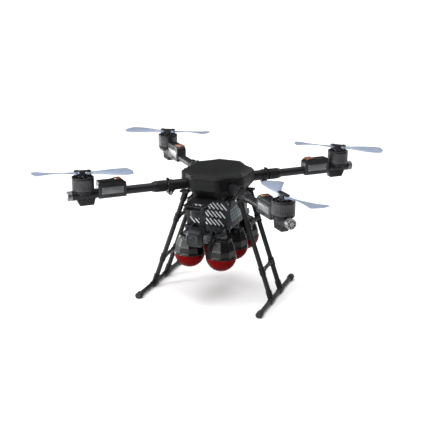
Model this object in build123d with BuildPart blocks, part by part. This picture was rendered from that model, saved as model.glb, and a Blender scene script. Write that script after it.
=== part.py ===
"""Heavy-lift folding quadcopter carrying six fire-extinguishing canisters.

Millimetres, +Z up. The origin is on the ground, under the hub's centre. The nose,
with the gimbal camera, points along -Y. Each arm part is drawn once along +X and
turned about Z to its corner.
"""

import os
from math import cos, hypot, radians, sin

from build123d import *

os.makedirs("parts", exist_ok=True)

# ---------------------------------------------------------------- driving dimensions
WHEELBASE = 1340.0  # diagonal, motor axis to motor axis
MOTOR_R = WHEELBASE / 2
CORNERS = {"fr": -45, "br": 45, "bl": 135, "fl": 225}
FIT = 0.05  # radial clearance of a shaft in its bore
GAP = 0.5  # air between faces that move apart
SEAT = 0.2  # air between faces that rest together
STANDING = (Align.CENTER, Align.CENTER, Align.MIN)
HANGING = (Align.CENTER, Align.CENTER, Align.MAX)

# Landing gear
FOOT_R = 16.0
SOLE_CUT = 1.5  # flat ground off the underside of each foot
SKID_Z = FOOT_R - SOLE_CUT
SKID_X = 310.0
SKID_HALF = 265.0
SKID_R = 11.0
FOOT_LENGTH = 34.0
LEG_Y = 73.6
LEG_LEAN = 0.3477  # inward travel of a leg for each unit of height
LEG_R = 12.0
LEG_TOP = 508.0
LEG_WALL = 1.5
SLEEVE_R = 15.0
SLEEVE_LENGTH = 38.0
TEE_LENGTH = 56.0
SADDLE_T = 3.0  # wall of a clamp round a tube
SADDLE_LENGTH = 14.0
LOWER_SLEEVE = 48.0
FOOT_OVERHANG = 4.0
PLATE = (46.0, 40.0, 9.0)
MOUNT_SLEEVE = 52.0
MOUNT_DROP = 40.0
CROSS_HALF = LEG_Y - LEG_R - 1.0
SKID_GAP = 5.0  # a leg stops this far above its skid
CROSS_HEIGHTS = (157.5, 375.5)
CROSS_R = 9.5

# Arms
ARM_Z = SKID_Z + 552.5
TUBE_R = 20.0
TUBE_BORE_R = 18.0
SOCKET_R = 25.0
SOCKET_IN = 112.0
BLOCK_LENGTH = 24.0
HINGE_R = 250.0
HINGE_Z = ARM_Z - 32.5
BARREL_R = 12.0
BARREL_RELIEF = 0.7
KNUCKLE_HALF = 7.0
EAR_HALF = 17.0
EAR_REACH = 14.0
FLANGE_R = 28.0
FLANGE_T = 12.5
PIN_R = 4.0
PIN_HEAD_R = 7.0
PIN_HEAD_T = 3.0
PIN_HALF = EAR_HALF + 0.5
LATCH_HALF = 9.0
LATCH_LENGTH = 15.0
FLANGE_EDGE = 1.5
KNUCKLE_SLACK = 0.3
PLUG_LENGTH = 36.0
PLUG_WALL = 4.0
LATCH_TOP = ARM_Z + 37.0
COLLAR_IN = 270.0
COLLAR_LENGTH = 68.0
COLLAR_R = 27.0
COLLAR_TAPER = 14.0
COLLAR_SLACK = 0.3  # radial air over the tube it slides on
GRIP_R = 1.2
GRIPS = 16
GRIP_LENGTH = 30.0
TUBE_OUT = 742.0

# Motor-controller pod on each arm
POD_IN = 470.0
POD_OUT = 604.0
POD_WIDTH = 52.0
POD_BOTTOM = ARM_Z - 22.0
POD_TOP = ARM_Z + 57.0
LIGHT_TOP = ARM_Z + 64.0
LIGHT_LENGTH = 56.0
LIGHT_SLOPE = 20.0  # length of the slope up to the light
POD_SHOULDER = ARM_Z + 40.0
PANEL_LENGTH = 96.0
PANEL_HEIGHT = 34.0
PANEL_Z = ARM_Z + 16.0

# Motor and propeller
BELL_R = 51.0
BELL_WALL = 4.0
BELL_BOTTOM = 592.5
BELL_TOP = 655.5
STATOR_R = 44.0
STATOR_TOP = BELL_BOTTOM + 48.0
STATOR_SLOTS = 12
SHAFT_R = 6.0
CAP_T = 10.0
WINDOWS = 8
WINDOW_R = 34.0
BASE_T = 8.0
BASE_GAP = 2.0  # air between the base plate and the bell
BASE_NOTCHES = 12
PEDESTAL_R = 34.0
UNDER_Z = ARM_Z - 49.0
UNDER_SHOULDER = ARM_Z - 24.0
UNDER_HALF = 19.0
MOUNT_START = POD_OUT + 4.0
SLEEVE_OUT = 748.0
MOUNT_R = 23.0
BLADE_Z = 670.0
PROP_R = 229.0  # eighteen-inch propeller
PIVOT_X = 28.0
EYE_R = 11.0
EYE_H = 13.0
CLAMP_PLATE = 4.0
CLAMP_WIDTH = 25.0
BOLT_R = 3.0
BOLT_HEAD_R = 6.0
BOLT_HEAD_T = 3.5
BOSS_R = 15.0
EYE_GAP = 0.4  # air above and below a blade's eye
PROP_ANGLES = {"fr": -44.0, "br": 2.0, "bl": 11.0, "fl": 30.0}  # rest angle from +X
REST_FOLD = {"a_fr": 18.0, "b_fr": -18.0}  # blades that rest part-folded about their bolts
COUNTER_SPIN = ("fr", "bl")

# Hub
HUB_SIDE_X = 160.0
HUB_SIDE_Y = 80.0
HUB_NOSE_X = 60.0
HUB_NOSE_Y = 186.0
EDGE_Z = SKID_Z + 600.0
CROWN = 22.0
COVER_Z = 559.5
FLOOR_Z = 520.0
HUB_WALL = 3.0
PLATE_T = 3.0
PLATE_SCALE = 0.86
FLOOR_SCALE = 0.8
SHELL_SCALE = 0.99  # the lower shell's rim inside the cover's
SEAM = 0.3
SOCKET_HOLE_R = SOCKET_R + 2.0
CABLE_HOLE_R = 12.0
CONTROLLER = (70.0, 90.0, 16.0)
CONTROLLER_Y = -40.0
RECEIVER_R = 30.0
RECEIVER_T = 14.0
RECEIVER_Y = 55.0

# Battery
BATTERY_WIDTH = 108.0
BATTERY_FRONT = -60.0
BATTERY_REAR = 182.0
BATTERY_SLACK = 1.5
BATTERY_OPENING = BATTERY_WIDTH + 4.0
HANDLE = (70.0, 14.0, 12.0)

# Payload
CAGE_X = 110.0
CAGE_Y = 130.0
CAGE_BOTTOM = 361.5
CAGE_TOP = 498.5
CAGE_WALL = 2.5
POST = 15.0
SLOT_LENGTH = 45.0
SLOT_WIDTH = 8.0
SLOT_PITCH = 21.0
SLOT_ROWS = 3
SLOT_COLUMNS = 8
SLOT_MARGIN = 14.0
RACK_X = 72.0  # hub rails either side of the middle
RACK_FLANGE = (26.0, 8.0)
RACK_WEB = 14.0
BEAM_WIDTH = 12.0
BEAM_ROWS = (-118.0, 8.0, 124.0)
LATCH = (34.0, 34.0, 18.0)
LATCH_R = 20.0
RACK_LENGTH = 420.0
RAIL_BOTTOM = 347.5
RAIL_WIDTH = 22.0
RAIL_BOLTS_Y = -84.0  # middle of the spare M4 holes under the rails
RAIL_BOLT_PITCH = 40.0
RAIL_BOLT_R = 2.1
CANISTER_X = 81.0
CANISTER_ROWS = (-160.0, 8.0, 176.0)
CANISTER_R = 75.0
CANISTER_Z = 242.5  # height of the joint between dome and body
CANISTER_BODY = 88.0
CANISTER_TOP_R = 48.0
CANISTER_WALL = 3.0
COLLAR_RING_R = 26.5
STEM_R = 8.0
STEM_TOP = 374.0
STEM_SLACK = 0.5
CANISTER_FACES = 20
SHOULDER = (0.42, 0.92)  # share of the body's height, share of its width
CAP_R = 20.0

# Gimbal
GIMBAL_Y = -275.0
GIMBAL_PLATE_Z = 498.0
GIMBAL_PLATE_T = 4.0
CAMERA_Z = 361.5
CAMERA_R = 46.0
CAMERA_HALF = 41.0
CAMERA_ROUND = 18.0
BASE_PLATE = (104.0, 220.0)
BASE_CENTRE_Y = GIMBAL_Y + 75.0
PAN_PLATE = (106.0, 76.0)
DAMPER_GRID = (82.0, 52.0)
DAMPER_R = 8.5
PAN_MOTOR_R = 27.0
PAN_MOTOR_T = 24.0
PAN_CAP_R = 25.0
PAN_SHAFT_R = 6.0
ROLL_MOTOR_R = 20.0
TILT_MOTOR_R = 24.0
PIVOT_SHAFT_R = 5.0
YOKE_HALF = 15.0
BEZEL = (58.0, 54.0)
WINDOW = (46.0, 42.0)
ROLL_Y = GIMBAL_Y + 64.0


def write(shape, name):
    """Label a finished piece and write it as one STEP file."""
    shape.label = name
    export_step(shape, f"parts/{name}.step")


def together(parts):
    """Group finished pieces that share a node, each still a separate solid."""
    return Compound([solid for part in parts for solid in part.solids()])


def write_corners(shape, stem):
    """Write an arm piece, drawn along +X, once for each of the four corners."""
    for corner, angle in CORNERS.items():
        write(shape.rotate(Axis.Z, angle), f"{stem}_{corner}")


def octagon(scale):
    """Corner points of the hub's outline, scaled about its centre."""
    nose_x, nose_y = HUB_NOSE_X * scale, HUB_NOSE_Y * scale
    side_x, side_y = HUB_SIDE_X * scale, HUB_SIDE_Y * scale
    quarter = [(nose_x, -nose_y), (side_x, -side_y)]
    right = quarter + [(x, -y) for x, y in reversed(quarter)]
    return right + [(-x, y) for x, y in reversed(right)]


def hub_layer(height, scale, inset):
    """Sketch of the hub's outline at one height, moved inwards by a wall."""
    with BuildSketch(Plane.XY.offset(height)) as layer:
        Polygon(*octagon(scale), align=None)
        if inset:
            offset(amount=-inset, kind=Kind.INTERSECTION)
    return layer.sketch


def diagonal(angle, height):
    """Plane across an arm's axis, at the hub's centre."""
    out = (cos(radians(angle)), sin(radians(angle)), 0)
    return Plane(origin=(0, 0, height), x_dir=(-out[1], out[0], 0), z_dir=out)


def leg_x(height):
    """Distance of a leg's axis from the middle at one height."""
    return SKID_X - LEG_LEAN * (height - SKID_Z)


def leg_plane(side, end, height):
    """Plane across a leg's axis at one height."""
    return Plane(
        origin=(side * leg_x(height), end * LEG_Y, height),
        x_dir=(0, 1, 0),
        z_dir=(-side * LEG_LEAN, 0, 1),
    )


LEGS = [(side, end) for side in (-1, 1) for end in (-1, 1)]

# ---------------------------------------------------------------- hub
EDGE_STEPS = ((0.0, 1.0), (0.62, 0.86), (1.0, 0.55))  # share of the crown, outline scale

with BuildPart() as top_cover:
    for inset, mode in ((0.0, Mode.ADD), (HUB_WALL, Mode.SUBTRACT)):
        add(hub_layer(COVER_Z, 1.0, inset))
        extrude(amount=EDGE_Z - COVER_Z - inset, mode=mode)
        for share, scale in EDGE_STEPS:
            add(hub_layer(EDGE_Z - inset + share * CROWN, scale, inset))
        loft(ruled=True, mode=mode)
    for angle in (45, -45):
        with BuildSketch(diagonal(angle, ARM_Z)):
            Circle(SOCKET_HOLE_R)
        extrude(amount=HUB_NOSE_Y, both=True, mode=Mode.SUBTRACT)
    with Locations((0, HUB_NOSE_Y, COVER_Z)):
        Box(BATTERY_OPENING, 20, 2 * (ARM_Z + SOCKET_HOLE_R - COVER_Z), mode=Mode.SUBTRACT)
write(top_cover.part, "top_cover")

with BuildPart() as lower_shell:
    for inset, mode in ((0.0, Mode.ADD), (HUB_WALL, Mode.SUBTRACT)):
        add(hub_layer(COVER_Z - SEAM, SHELL_SCALE, inset))
        add(hub_layer(FLOOR_Z + inset, FLOOR_SCALE, inset))
        loft(ruled=True, mode=mode)
    for angle in (45, -45):
        with BuildSketch(diagonal(angle, ARM_Z)):
            Circle(SOCKET_HOLE_R)
        extrude(amount=HUB_NOSE_Y, both=True, mode=Mode.SUBTRACT)
    with Locations((0, HUB_NOSE_Y, COVER_Z)):
        Box(BATTERY_OPENING, 60, 2 * (COVER_Z - ARM_Z + SOCKET_R), mode=Mode.SUBTRACT)
write(lower_shell.part, "lower_shell")

with BuildPart() as frame_plates:
    for height in (ARM_Z - SOCKET_R - PLATE_T, ARM_Z + SOCKET_R):
        add(hub_layer(height, PLATE_SCALE, 0))
        extrude(amount=PLATE_T)
    with Locations((0, 0, ARM_Z)):
        with GridLocations(2 * HUB_NOSE_X, HUB_NOSE_Y, 2, 2):
            Cylinder(CABLE_HOLE_R, 4 * SOCKET_R, mode=Mode.SUBTRACT)
write(frame_plates.part, "frame_plates")

with BuildPart() as flight_controller:
    with Locations((0, CONTROLLER_Y, ARM_Z + SOCKET_R + PLATE_T)):
        Box(*CONTROLLER, align=STANDING)
    fillet(flight_controller.edges().filter_by(Axis.Z), 4)
    with Locations((0, RECEIVER_Y, ARM_Z + SOCKET_R + PLATE_T)):
        Cylinder(RECEIVER_R, RECEIVER_T, align=STANDING)
write(flight_controller.part, "flight_controller")

with BuildPart() as battery:
    with Locations((0, (BATTERY_FRONT + BATTERY_REAR) / 2, ARM_Z)):
        Box(BATTERY_WIDTH, BATTERY_REAR - BATTERY_FRONT, 2 * (SOCKET_R - BATTERY_SLACK))
    fillet(battery.edges().filter_by(Axis.Y), 5)
    with Locations((0, BATTERY_REAR + HANDLE[1] / 2, ARM_Z)):
        Box(*HANDLE)
    fillet(battery.edges().group_by(Axis.Y)[-1], 4)
write(battery.part, "battery")

# ---------------------------------------------------------------- arm roots and hinges
KNUCKLE_RISE = ARM_Z - 16
LATCH_X = HINGE_R + GAP + 2

with BuildPart() as arm_socket:
    with Locations((SOCKET_IN + BLOCK_LENGTH / 2, 0, ARM_Z)):
        Box(BLOCK_LENGTH, 2 * SOCKET_R, 2 * SOCKET_R)
    fillet(arm_socket.edges().filter_by(Axis.X), 4)
    with BuildSketch(Plane.YZ.offset(SOCKET_IN)):
        with Locations((0, ARM_Z)):
            Circle(SOCKET_R)
    extrude(amount=HINGE_R - GAP - SOCKET_IN)
    with BuildSketch(Plane.YZ.offset(HINGE_R - GAP - FLANGE_T)):
        with Locations((0, ARM_Z)):
            Circle(FLANGE_R)
    extrude(amount=FLANGE_T)
    chamfer(arm_socket.faces().sort_by(Axis.X)[-1].edges(), FLANGE_EDGE)
    with BuildSketch(Plane.XZ):
        with Locations((HINGE_R, HINGE_Z)):
            Circle(BARREL_R + BARREL_RELIEF)
    extrude(amount=EAR_HALF + GAP, both=True, mode=Mode.SUBTRACT)
    with BuildSketch(Plane.XZ):
        with Locations((HINGE_R, HINGE_Z)):
            Circle(BARREL_R)
        with BuildLine():
            Polyline(
                (HINGE_R - BARREL_R, HINGE_Z),
                (HINGE_R - GAP, HINGE_Z),
                (HINGE_R - GAP, KNUCKLE_RISE),
                (HINGE_R - FLANGE_T - EAR_REACH, KNUCKLE_RISE),
                close=True,
            )
        make_face()
    extrude(amount=EAR_HALF, both=True)
    with BuildSketch(Plane.XZ):
        with Locations((HINGE_R, HINGE_Z)):
            Circle(BARREL_R + BARREL_RELIEF)
    extrude(amount=KNUCKLE_HALF + KNUCKLE_SLACK, both=True, mode=Mode.SUBTRACT)
    with BuildSketch(Plane.XZ):
        with Locations((HINGE_R, HINGE_Z)):
            Circle(PIN_R + FIT)
    extrude(amount=2 * EAR_HALF, both=True, mode=Mode.SUBTRACT)
    with BuildSketch(Plane.YZ.offset(SOCKET_IN - 1)):
        with Locations((0, ARM_Z)):
            Circle(TUBE_BORE_R)
    extrude(amount=HINGE_R - SOCKET_IN, mode=Mode.SUBTRACT)

with BuildPart() as hinge_pin:
    with BuildSketch(Plane.XZ):
        with Locations((HINGE_R, HINGE_Z)):
            Circle(PIN_R)
    extrude(amount=PIN_HALF, both=True)
    for face in (PIN_HALF, -PIN_HALF - PIN_HEAD_T):
        with BuildSketch(Plane.XZ.offset(face)):
            with Locations((HINGE_R, HINGE_Z)):
                Circle(PIN_HEAD_R)
        extrude(amount=PIN_HEAD_T)

sockets = [arm_socket.part.rotate(Axis.Z, angle) for angle in CORNERS.values()]
write(together(sockets), "arm_sockets")
pins = [hinge_pin.part.rotate(Axis.Z, angle) for angle in CORNERS.values()]
write(together(pins), "hinge_pins")

# ---------------------------------------------------------------- folding arm
with BuildPart() as arm_tube:
    with BuildSketch(Plane.YZ.offset(HINGE_R + GAP + FLANGE_T)):
        with Locations((0, ARM_Z)):
            Circle(TUBE_R)
            Circle(TUBE_BORE_R, mode=Mode.SUBTRACT)
    extrude(amount=TUBE_OUT - HINGE_R - GAP - FLANGE_T)

with BuildPart() as arm_knuckle:
    with BuildSketch(Plane.YZ.offset(HINGE_R + GAP)):
        with Locations((0, ARM_Z)):
            Circle(FLANGE_R)
    extrude(amount=FLANGE_T)
    chamfer(arm_knuckle.edges(), FLANGE_EDGE)
    with BuildSketch(Plane.XZ):
        with BuildLine():
            Polyline(
                (LATCH_X, ARM_Z + TUBE_R + 2),
                (LATCH_X, LATCH_TOP - 4),
                (LATCH_X + 3, LATCH_TOP),
                (LATCH_X + LATCH_LENGTH - 2, LATCH_TOP - 3),
                (LATCH_X + LATCH_LENGTH, ARM_Z + TUBE_R + 2),
                close=True,
            )
        make_face()
    extrude(amount=LATCH_HALF, both=True)
    with BuildSketch(Plane.XZ):
        with Locations((HINGE_R, HINGE_Z)):
            Circle(BARREL_R + BARREL_RELIEF)
    extrude(amount=EAR_HALF + GAP, both=True, mode=Mode.SUBTRACT)
    with BuildSketch(Plane.XZ):
        with Locations((HINGE_R, HINGE_Z)):
            Circle(BARREL_R)
        with BuildLine():
            Polyline(
                (HINGE_R + GAP, HINGE_Z),
                (HINGE_R + BARREL_R, HINGE_Z),
                (HINGE_R + GAP + FLANGE_T, KNUCKLE_RISE),
                (HINGE_R + GAP, KNUCKLE_RISE),
                close=True,
            )
        make_face()
    extrude(amount=KNUCKLE_HALF, both=True)
    with BuildSketch(Plane.XZ):
        with Locations((HINGE_R, HINGE_Z)):
            Circle(PIN_R + FIT)
    extrude(amount=2 * EAR_HALF, both=True, mode=Mode.SUBTRACT)
    with BuildSketch(Plane.YZ.offset(HINGE_R + FLANGE_T)):
        with Locations((0, ARM_Z)):
            Circle(TUBE_BORE_R - FIT)
    extrude(amount=PLUG_LENGTH)
    with BuildSketch(Plane.YZ.offset(HINGE_R)):
        with Locations((0, ARM_Z)):
            Circle(TUBE_BORE_R - PLUG_WALL)
    extrude(amount=FLANGE_T + PLUG_LENGTH + 1, mode=Mode.SUBTRACT)
write_corners(together([arm_tube.part, arm_knuckle.part]), "arm")

with BuildPart() as lock_collar:
    with BuildSketch(Plane.XZ):
        with BuildLine():
            Polyline(
                (COLLAR_IN, ARM_Z + TUBE_R + COLLAR_SLACK),
                (COLLAR_IN, ARM_Z + COLLAR_R - 2),
                (COLLAR_IN + 2, ARM_Z + COLLAR_R),
                (COLLAR_IN + COLLAR_LENGTH - COLLAR_TAPER, ARM_Z + COLLAR_R - 1),
                (COLLAR_IN + COLLAR_LENGTH, ARM_Z + TUBE_R + COLLAR_SLACK + 2),
                (COLLAR_IN + COLLAR_LENGTH, ARM_Z + TUBE_R + COLLAR_SLACK),
                close=True,
            )
        make_face()
    revolve(axis=Axis((0, 0, ARM_Z), (1, 0, 0)))
    with BuildSketch(Plane.YZ.offset(COLLAR_IN + 10)):
        with Locations((0, ARM_Z)):
            with PolarLocations(COLLAR_R, GRIPS):
                Circle(GRIP_R)
    extrude(amount=GRIP_LENGTH, mode=Mode.SUBTRACT)
write_corners(lock_collar.part, "lock_collar")

with BuildPart() as esc_pod:
    with BuildSketch(Plane.XZ):
        with BuildLine():
            Polyline(
                (POD_IN, POD_BOTTOM),
                (POD_OUT, POD_BOTTOM),
                (POD_OUT, POD_TOP - 9),
                (POD_OUT - 4, POD_TOP),
                (POD_IN + LIGHT_LENGTH + 10, POD_TOP),
                (POD_IN + LIGHT_LENGTH, LIGHT_TOP),
                (POD_IN + LIGHT_SLOPE, LIGHT_TOP),
                (POD_IN, POD_SHOULDER),
                close=True,
            )
        make_face()
    extrude(amount=POD_WIDTH / 2, both=True)
    fillet(esc_pod.edges().filter_by(Axis.X), 5)
    with BuildSketch(Plane.YZ.offset(POD_IN)):
        with Locations((0, ARM_Z)):
            Circle(TUBE_R + FIT)
    extrude(amount=POD_OUT - POD_IN, mode=Mode.SUBTRACT)
    for side in (-1, 1):
        with Locations(((POD_IN + POD_OUT) / 2, side * POD_WIDTH / 2, PANEL_Z)):
            Box(PANEL_LENGTH, 2, PANEL_HEIGHT, mode=Mode.SUBTRACT)
write_corners(esc_pod.part, "esc_pod")

with BuildPart() as motor_mount:
    with BuildSketch(Plane.YZ.offset(MOUNT_START)):
        with Locations((0, ARM_Z)):
            Circle(MOUNT_R)
    extrude(amount=SLEEVE_OUT - MOUNT_START)
    with BuildSketch(Plane.YZ.offset(SLEEVE_OUT - 20)):
        with Locations((0, ARM_Z)):
            Circle(MOUNT_R + 2)
    extrude(amount=12)
    with BuildSketch(Plane.XZ):
        with BuildLine():
            Polyline(
                (MOTOR_R - 53, UNDER_SHOULDER),
                (MOTOR_R - 46, UNDER_Z),
                (MOTOR_R + 20, UNDER_Z),
                (MOTOR_R + 32, UNDER_SHOULDER),
                (MOTOR_R + 32, ARM_Z),
                (MOTOR_R - 53, ARM_Z),
                close=True,
            )
        make_face()
    extrude(amount=UNDER_HALF, both=True)
    for reach in (-30, -10, 10):
        with Locations((MOTOR_R + reach - 3, 0, UNDER_Z + 9)):
            Box(6, 3 * UNDER_HALF, 9, mode=Mode.SUBTRACT)
    with Locations((MOTOR_R, 0, ARM_Z)):
        Cylinder(PEDESTAL_R, BELL_BOTTOM - BASE_GAP - ARM_Z, align=STANDING)
    with BuildSketch(Plane.XY.offset(BELL_BOTTOM - BASE_GAP - BASE_T)):
        with Locations((MOTOR_R, 0)):
            Circle(BELL_R - 1)
            with PolarLocations(BELL_R - 2, BASE_NOTCHES):
                SlotOverall(9, 5, mode=Mode.SUBTRACT)
    extrude(amount=BASE_T)
    with Locations((MOTOR_R, 0, BELL_BOTTOM - BASE_GAP)):
        Cylinder(STATOR_R, STATOR_TOP - BELL_BOTTOM + BASE_GAP, align=STANDING)
    with BuildSketch(Plane.XY.offset(BELL_BOTTOM + 4)):
        with Locations((MOTOR_R, 0)):
            with PolarLocations(STATOR_R, STATOR_SLOTS):
                SlotOverall(16, 5)
    extrude(amount=STATOR_TOP - BELL_BOTTOM, mode=Mode.SUBTRACT)
    with Locations((MOTOR_R, 0, BELL_BOTTOM)):
        Cylinder(SHAFT_R + FIT, STATOR_TOP - BELL_BOTTOM + 1, align=STANDING, mode=Mode.SUBTRACT)
    with BuildSketch(Plane.YZ.offset(POD_OUT)):
        with Locations((0, ARM_Z)):
            Circle(TUBE_R + FIT)
    extrude(amount=TUBE_OUT + GAP - POD_OUT, mode=Mode.SUBTRACT)
write_corners(motor_mount.part, "motor_mount")

# ---------------------------------------------------------------- motor and propeller
with BuildPart() as motor_bell:
    with BuildSketch(Plane.XZ):
        with BuildLine():
            Polyline(
                (MOTOR_R, BELL_BOTTOM + 6),
                (MOTOR_R + SHAFT_R, BELL_BOTTOM + 6),
                (MOTOR_R + SHAFT_R, BELL_TOP - CAP_T),
                (MOTOR_R + BELL_R - BELL_WALL, BELL_TOP - CAP_T),
                (MOTOR_R + BELL_R - BELL_WALL, BELL_BOTTOM),
                (MOTOR_R + BELL_R, BELL_BOTTOM),
                (MOTOR_R + BELL_R, BELL_TOP - 5),
                (MOTOR_R + BELL_R - 5, BELL_TOP - 2),
                (MOTOR_R + 22, BELL_TOP),
                (MOTOR_R, BELL_TOP),
                close=True,
            )
        make_face()
    revolve(axis=Axis((MOTOR_R, 0, 0), (0, 0, 1)))
    with BuildSketch(Plane.XY.offset(BELL_TOP - CAP_T - 2)):
        with Locations((MOTOR_R, 0)):
            with PolarLocations(WINDOW_R, WINDOWS):
                SlotOverall(18, 9)
    extrude(amount=2 * CAP_T, mode=Mode.SUBTRACT)
write_corners(motor_bell.part, "motor_bell")

CLAMP_BOTTOM = BLADE_Z - EYE_H / 2 - EYE_GAP - CLAMP_PLATE
CLAMP_TOP = BLADE_Z + EYE_H / 2 + EYE_GAP + CLAMP_PLATE

with BuildPart() as prop_clamp:
    with Locations((0, 0, BELL_TOP)):
        Cylinder(BOSS_R, CLAMP_BOTTOM - BELL_TOP, align=STANDING)
    for height in (CLAMP_BOTTOM, CLAMP_TOP - CLAMP_PLATE):
        with BuildSketch(Plane.XY.offset(height)):
            SlotOverall(2 * (PIVOT_X + EYE_R + 1), CLAMP_WIDTH)
        extrude(amount=CLAMP_PLATE)
    with Locations((0, 0, BLADE_Z)):
        Box(2 * (PIVOT_X - EYE_R - 2), CLAMP_WIDTH - 2, CLAMP_TOP - CLAMP_BOTTOM)
    with BuildSketch(Plane.XY.offset(CLAMP_BOTTOM - 1)):
        with Locations((-PIVOT_X, 0), (PIVOT_X, 0)):
            Circle(BOLT_R)
    extrude(amount=CLAMP_TOP - CLAMP_BOTTOM + 1)
    with BuildSketch(Plane.XY.offset(CLAMP_TOP)):
        with Locations((-PIVOT_X, 0), (PIVOT_X, 0)):
            Circle(BOLT_HEAD_R)
    extrude(amount=BOLT_HEAD_T)

NECK_WIDTH = 17.0
BLADE_EDGE = 0.5  # half thickness of the leading and trailing edges
ROOT_CHORD = 24.0
BLADE_ROOT = 36.0  # distance of the blade's root from its pivot
BLADE_WIDE = 174.0  # distance of its widest section
WIDE_CHORD = 106.0
TIP_CHORD = 54.0
TIP_SWEEP = 20.0
ROOT_T = 9.0
TIP_T = 2.6
ROOT_PITCH = 18.0
TIP_PITCH = 3.0


def blade_section(share):
    """Plane, chord and thickness of the blade, from its root at 0 to its wide end at 1."""
    reach = BLADE_ROOT + share * (BLADE_WIDE - BLADE_ROOT)
    lean = radians(ROOT_PITCH + share * (TIP_PITCH - ROOT_PITCH))
    chord = ROOT_CHORD + share * (WIDE_CHORD - ROOT_CHORD)
    thickness = ROOT_T + share**0.5 * (TIP_T - ROOT_T)
    place = Plane(
        origin=(reach, 0, BLADE_Z), x_dir=(0, cos(lean), sin(lean)), z_dir=(1, 0, 0)
    )
    return place, chord, thickness


TIP_PLANE = Plane(
    origin=(PROP_R - PIVOT_X, -TIP_SWEEP, BLADE_Z),
    x_dir=(0, cos(radians(TIP_PITCH)), sin(radians(TIP_PITCH))),
    z_dir=(1, 0, 0),
)

with BuildPart() as blade:
    with Locations((0, 0, BLADE_Z)):
        Cylinder(EYE_R, EYE_H)
    with Locations(((BLADE_ROOT + EYE_R / 2) / 2, 0, BLADE_Z)):
        Box(BLADE_ROOT - EYE_R / 2 + 4, NECK_WIDTH, ROOT_T)
    stations = [blade_section(share) for share in (0.0, 0.35, 0.7, 1.0)]
    for place, chord, thickness in stations + [(TIP_PLANE, TIP_CHORD, TIP_T)]:
        front = chord / 2
        with BuildSketch(place):
            with BuildLine():
                ThreePointArc((-front, BLADE_EDGE), (0, thickness / 2), (front, BLADE_EDGE))
                Line((front, BLADE_EDGE), (front, -BLADE_EDGE))
                ThreePointArc((front, -BLADE_EDGE), (0, -thickness / 2), (-front, -BLADE_EDGE))
                Line((-front, -BLADE_EDGE), (-front, BLADE_EDGE))
            make_face()
    loft()
    with Locations((0, 0, BLADE_Z)):
        Cylinder(BOLT_R + FIT, 2 * EYE_H, mode=Mode.SUBTRACT)

for corner, angle in CORNERS.items():
    hub = Pos(MOTOR_R * cos(radians(angle)), MOTOR_R * sin(radians(angle)), 0)
    turn = PROP_ANGLES[corner]
    write((hub * Rot(0, 0, turn)) * prop_clamp.part, f"prop_clamp_{corner}")
    shape = mirror(blade.part, about=Plane.XZ) if corner in COUNTER_SPIN else blade.part
    for letter, half_turn in (("a", 0), ("b", 180)):
        fold = REST_FOLD.get(f"{letter}_{corner}", 0.0)
        place = hub * Rot(0, 0, turn + half_turn) * Pos(PIVOT_X, 0, 0) * Rot(0, 0, fold)
        write(place * shape, f"blade_{letter}_{corner}")

# ---------------------------------------------------------------- landing gear
LEG_LENGTH = hypot(1, LEG_LEAN) * (LEG_TOP - SKID_Z)

with BuildPart() as leg_tubes:
    for side, end in LEGS:
        with BuildSketch(leg_plane(side, end, SKID_Z + SKID_R + SKID_GAP)):
            Circle(LEG_R)
            Circle(LEG_R - LEG_WALL, mode=Mode.SUBTRACT)
        extrude(amount=LEG_LENGTH - SKID_R - SKID_GAP)
write(leg_tubes.part, "leg_tubes")

with BuildPart() as leg_joints:
    for side, end in LEGS:
        for height in CROSS_HEIGHTS:
            with BuildSketch(leg_plane(side, end, height)):
                Circle(SLEEVE_R)
            extrude(amount=SLEEVE_LENGTH / 2, both=True)
            with BuildSketch(Plane.XZ.offset(-end * (LEG_Y - SLEEVE_R))):
                with Locations((side * leg_x(height), height)):
                    Circle(CROSS_R + SADDLE_T)
            extrude(amount=end * SADDLE_LENGTH, both=True)
        with BuildSketch(leg_plane(side, end, SKID_Z)):
            Circle(SLEEVE_R)
        extrude(amount=LOWER_SLEEVE)
        with BuildSketch(Plane.XZ.offset(-end * LEG_Y)):
            with Locations((side * SKID_X, SKID_Z)):
                Circle(SKID_R + SADDLE_T)
        extrude(amount=TEE_LENGTH / 2, both=True)
        with BuildSketch(leg_plane(side, end, SKID_Z)):
            Circle(LEG_R + FIT)
        extrude(amount=LEG_LENGTH, mode=Mode.SUBTRACT)
        with BuildSketch(Plane.XZ):
            with Locations((side * SKID_X, SKID_Z)):
                Circle(SKID_R + FIT)
        extrude(amount=SKID_HALF, both=True, mode=Mode.SUBTRACT)
        for height in CROSS_HEIGHTS:
            with BuildSketch(Plane.XZ):
                with Locations((side * leg_x(height), height)):
                    Circle(CROSS_R + FIT)
            extrude(amount=CROSS_HALF, both=True, mode=Mode.SUBTRACT)
write(leg_joints.part, "leg_joints")

with BuildPart() as leg_mounts:
    for side, end in LEGS:
        with Locations((side * leg_x(LEG_TOP), end * LEG_Y, FLOOR_Z - SEAT)):
            Box(*PLATE, align=HANGING)
        with BuildSketch(leg_plane(side, end, LEG_TOP - MOUNT_DROP)):
            Circle(SLEEVE_R + 1)
        extrude(amount=MOUNT_SLEEVE)
    with Locations((0, 0, FLOOR_Z - SEAT)):
        Box(2 * SKID_X, 2 * SKID_X, MOUNT_SLEEVE, align=STANDING, mode=Mode.SUBTRACT)
    for side, end in LEGS:
        with BuildSketch(leg_plane(side, end, SKID_Z)):
            Circle(LEG_R + FIT)
        extrude(amount=LEG_LENGTH + 2, mode=Mode.SUBTRACT)
write(leg_mounts.part, "leg_mounts")

with BuildPart() as cross_tubes:
    for side in (-1, 1):
        for height in CROSS_HEIGHTS:
            with BuildSketch(Plane.XZ):
                with Locations((side * leg_x(height), height)):
                    Circle(CROSS_R)
            extrude(amount=CROSS_HALF, both=True)
write(cross_tubes.part, "cross_tubes")

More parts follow.
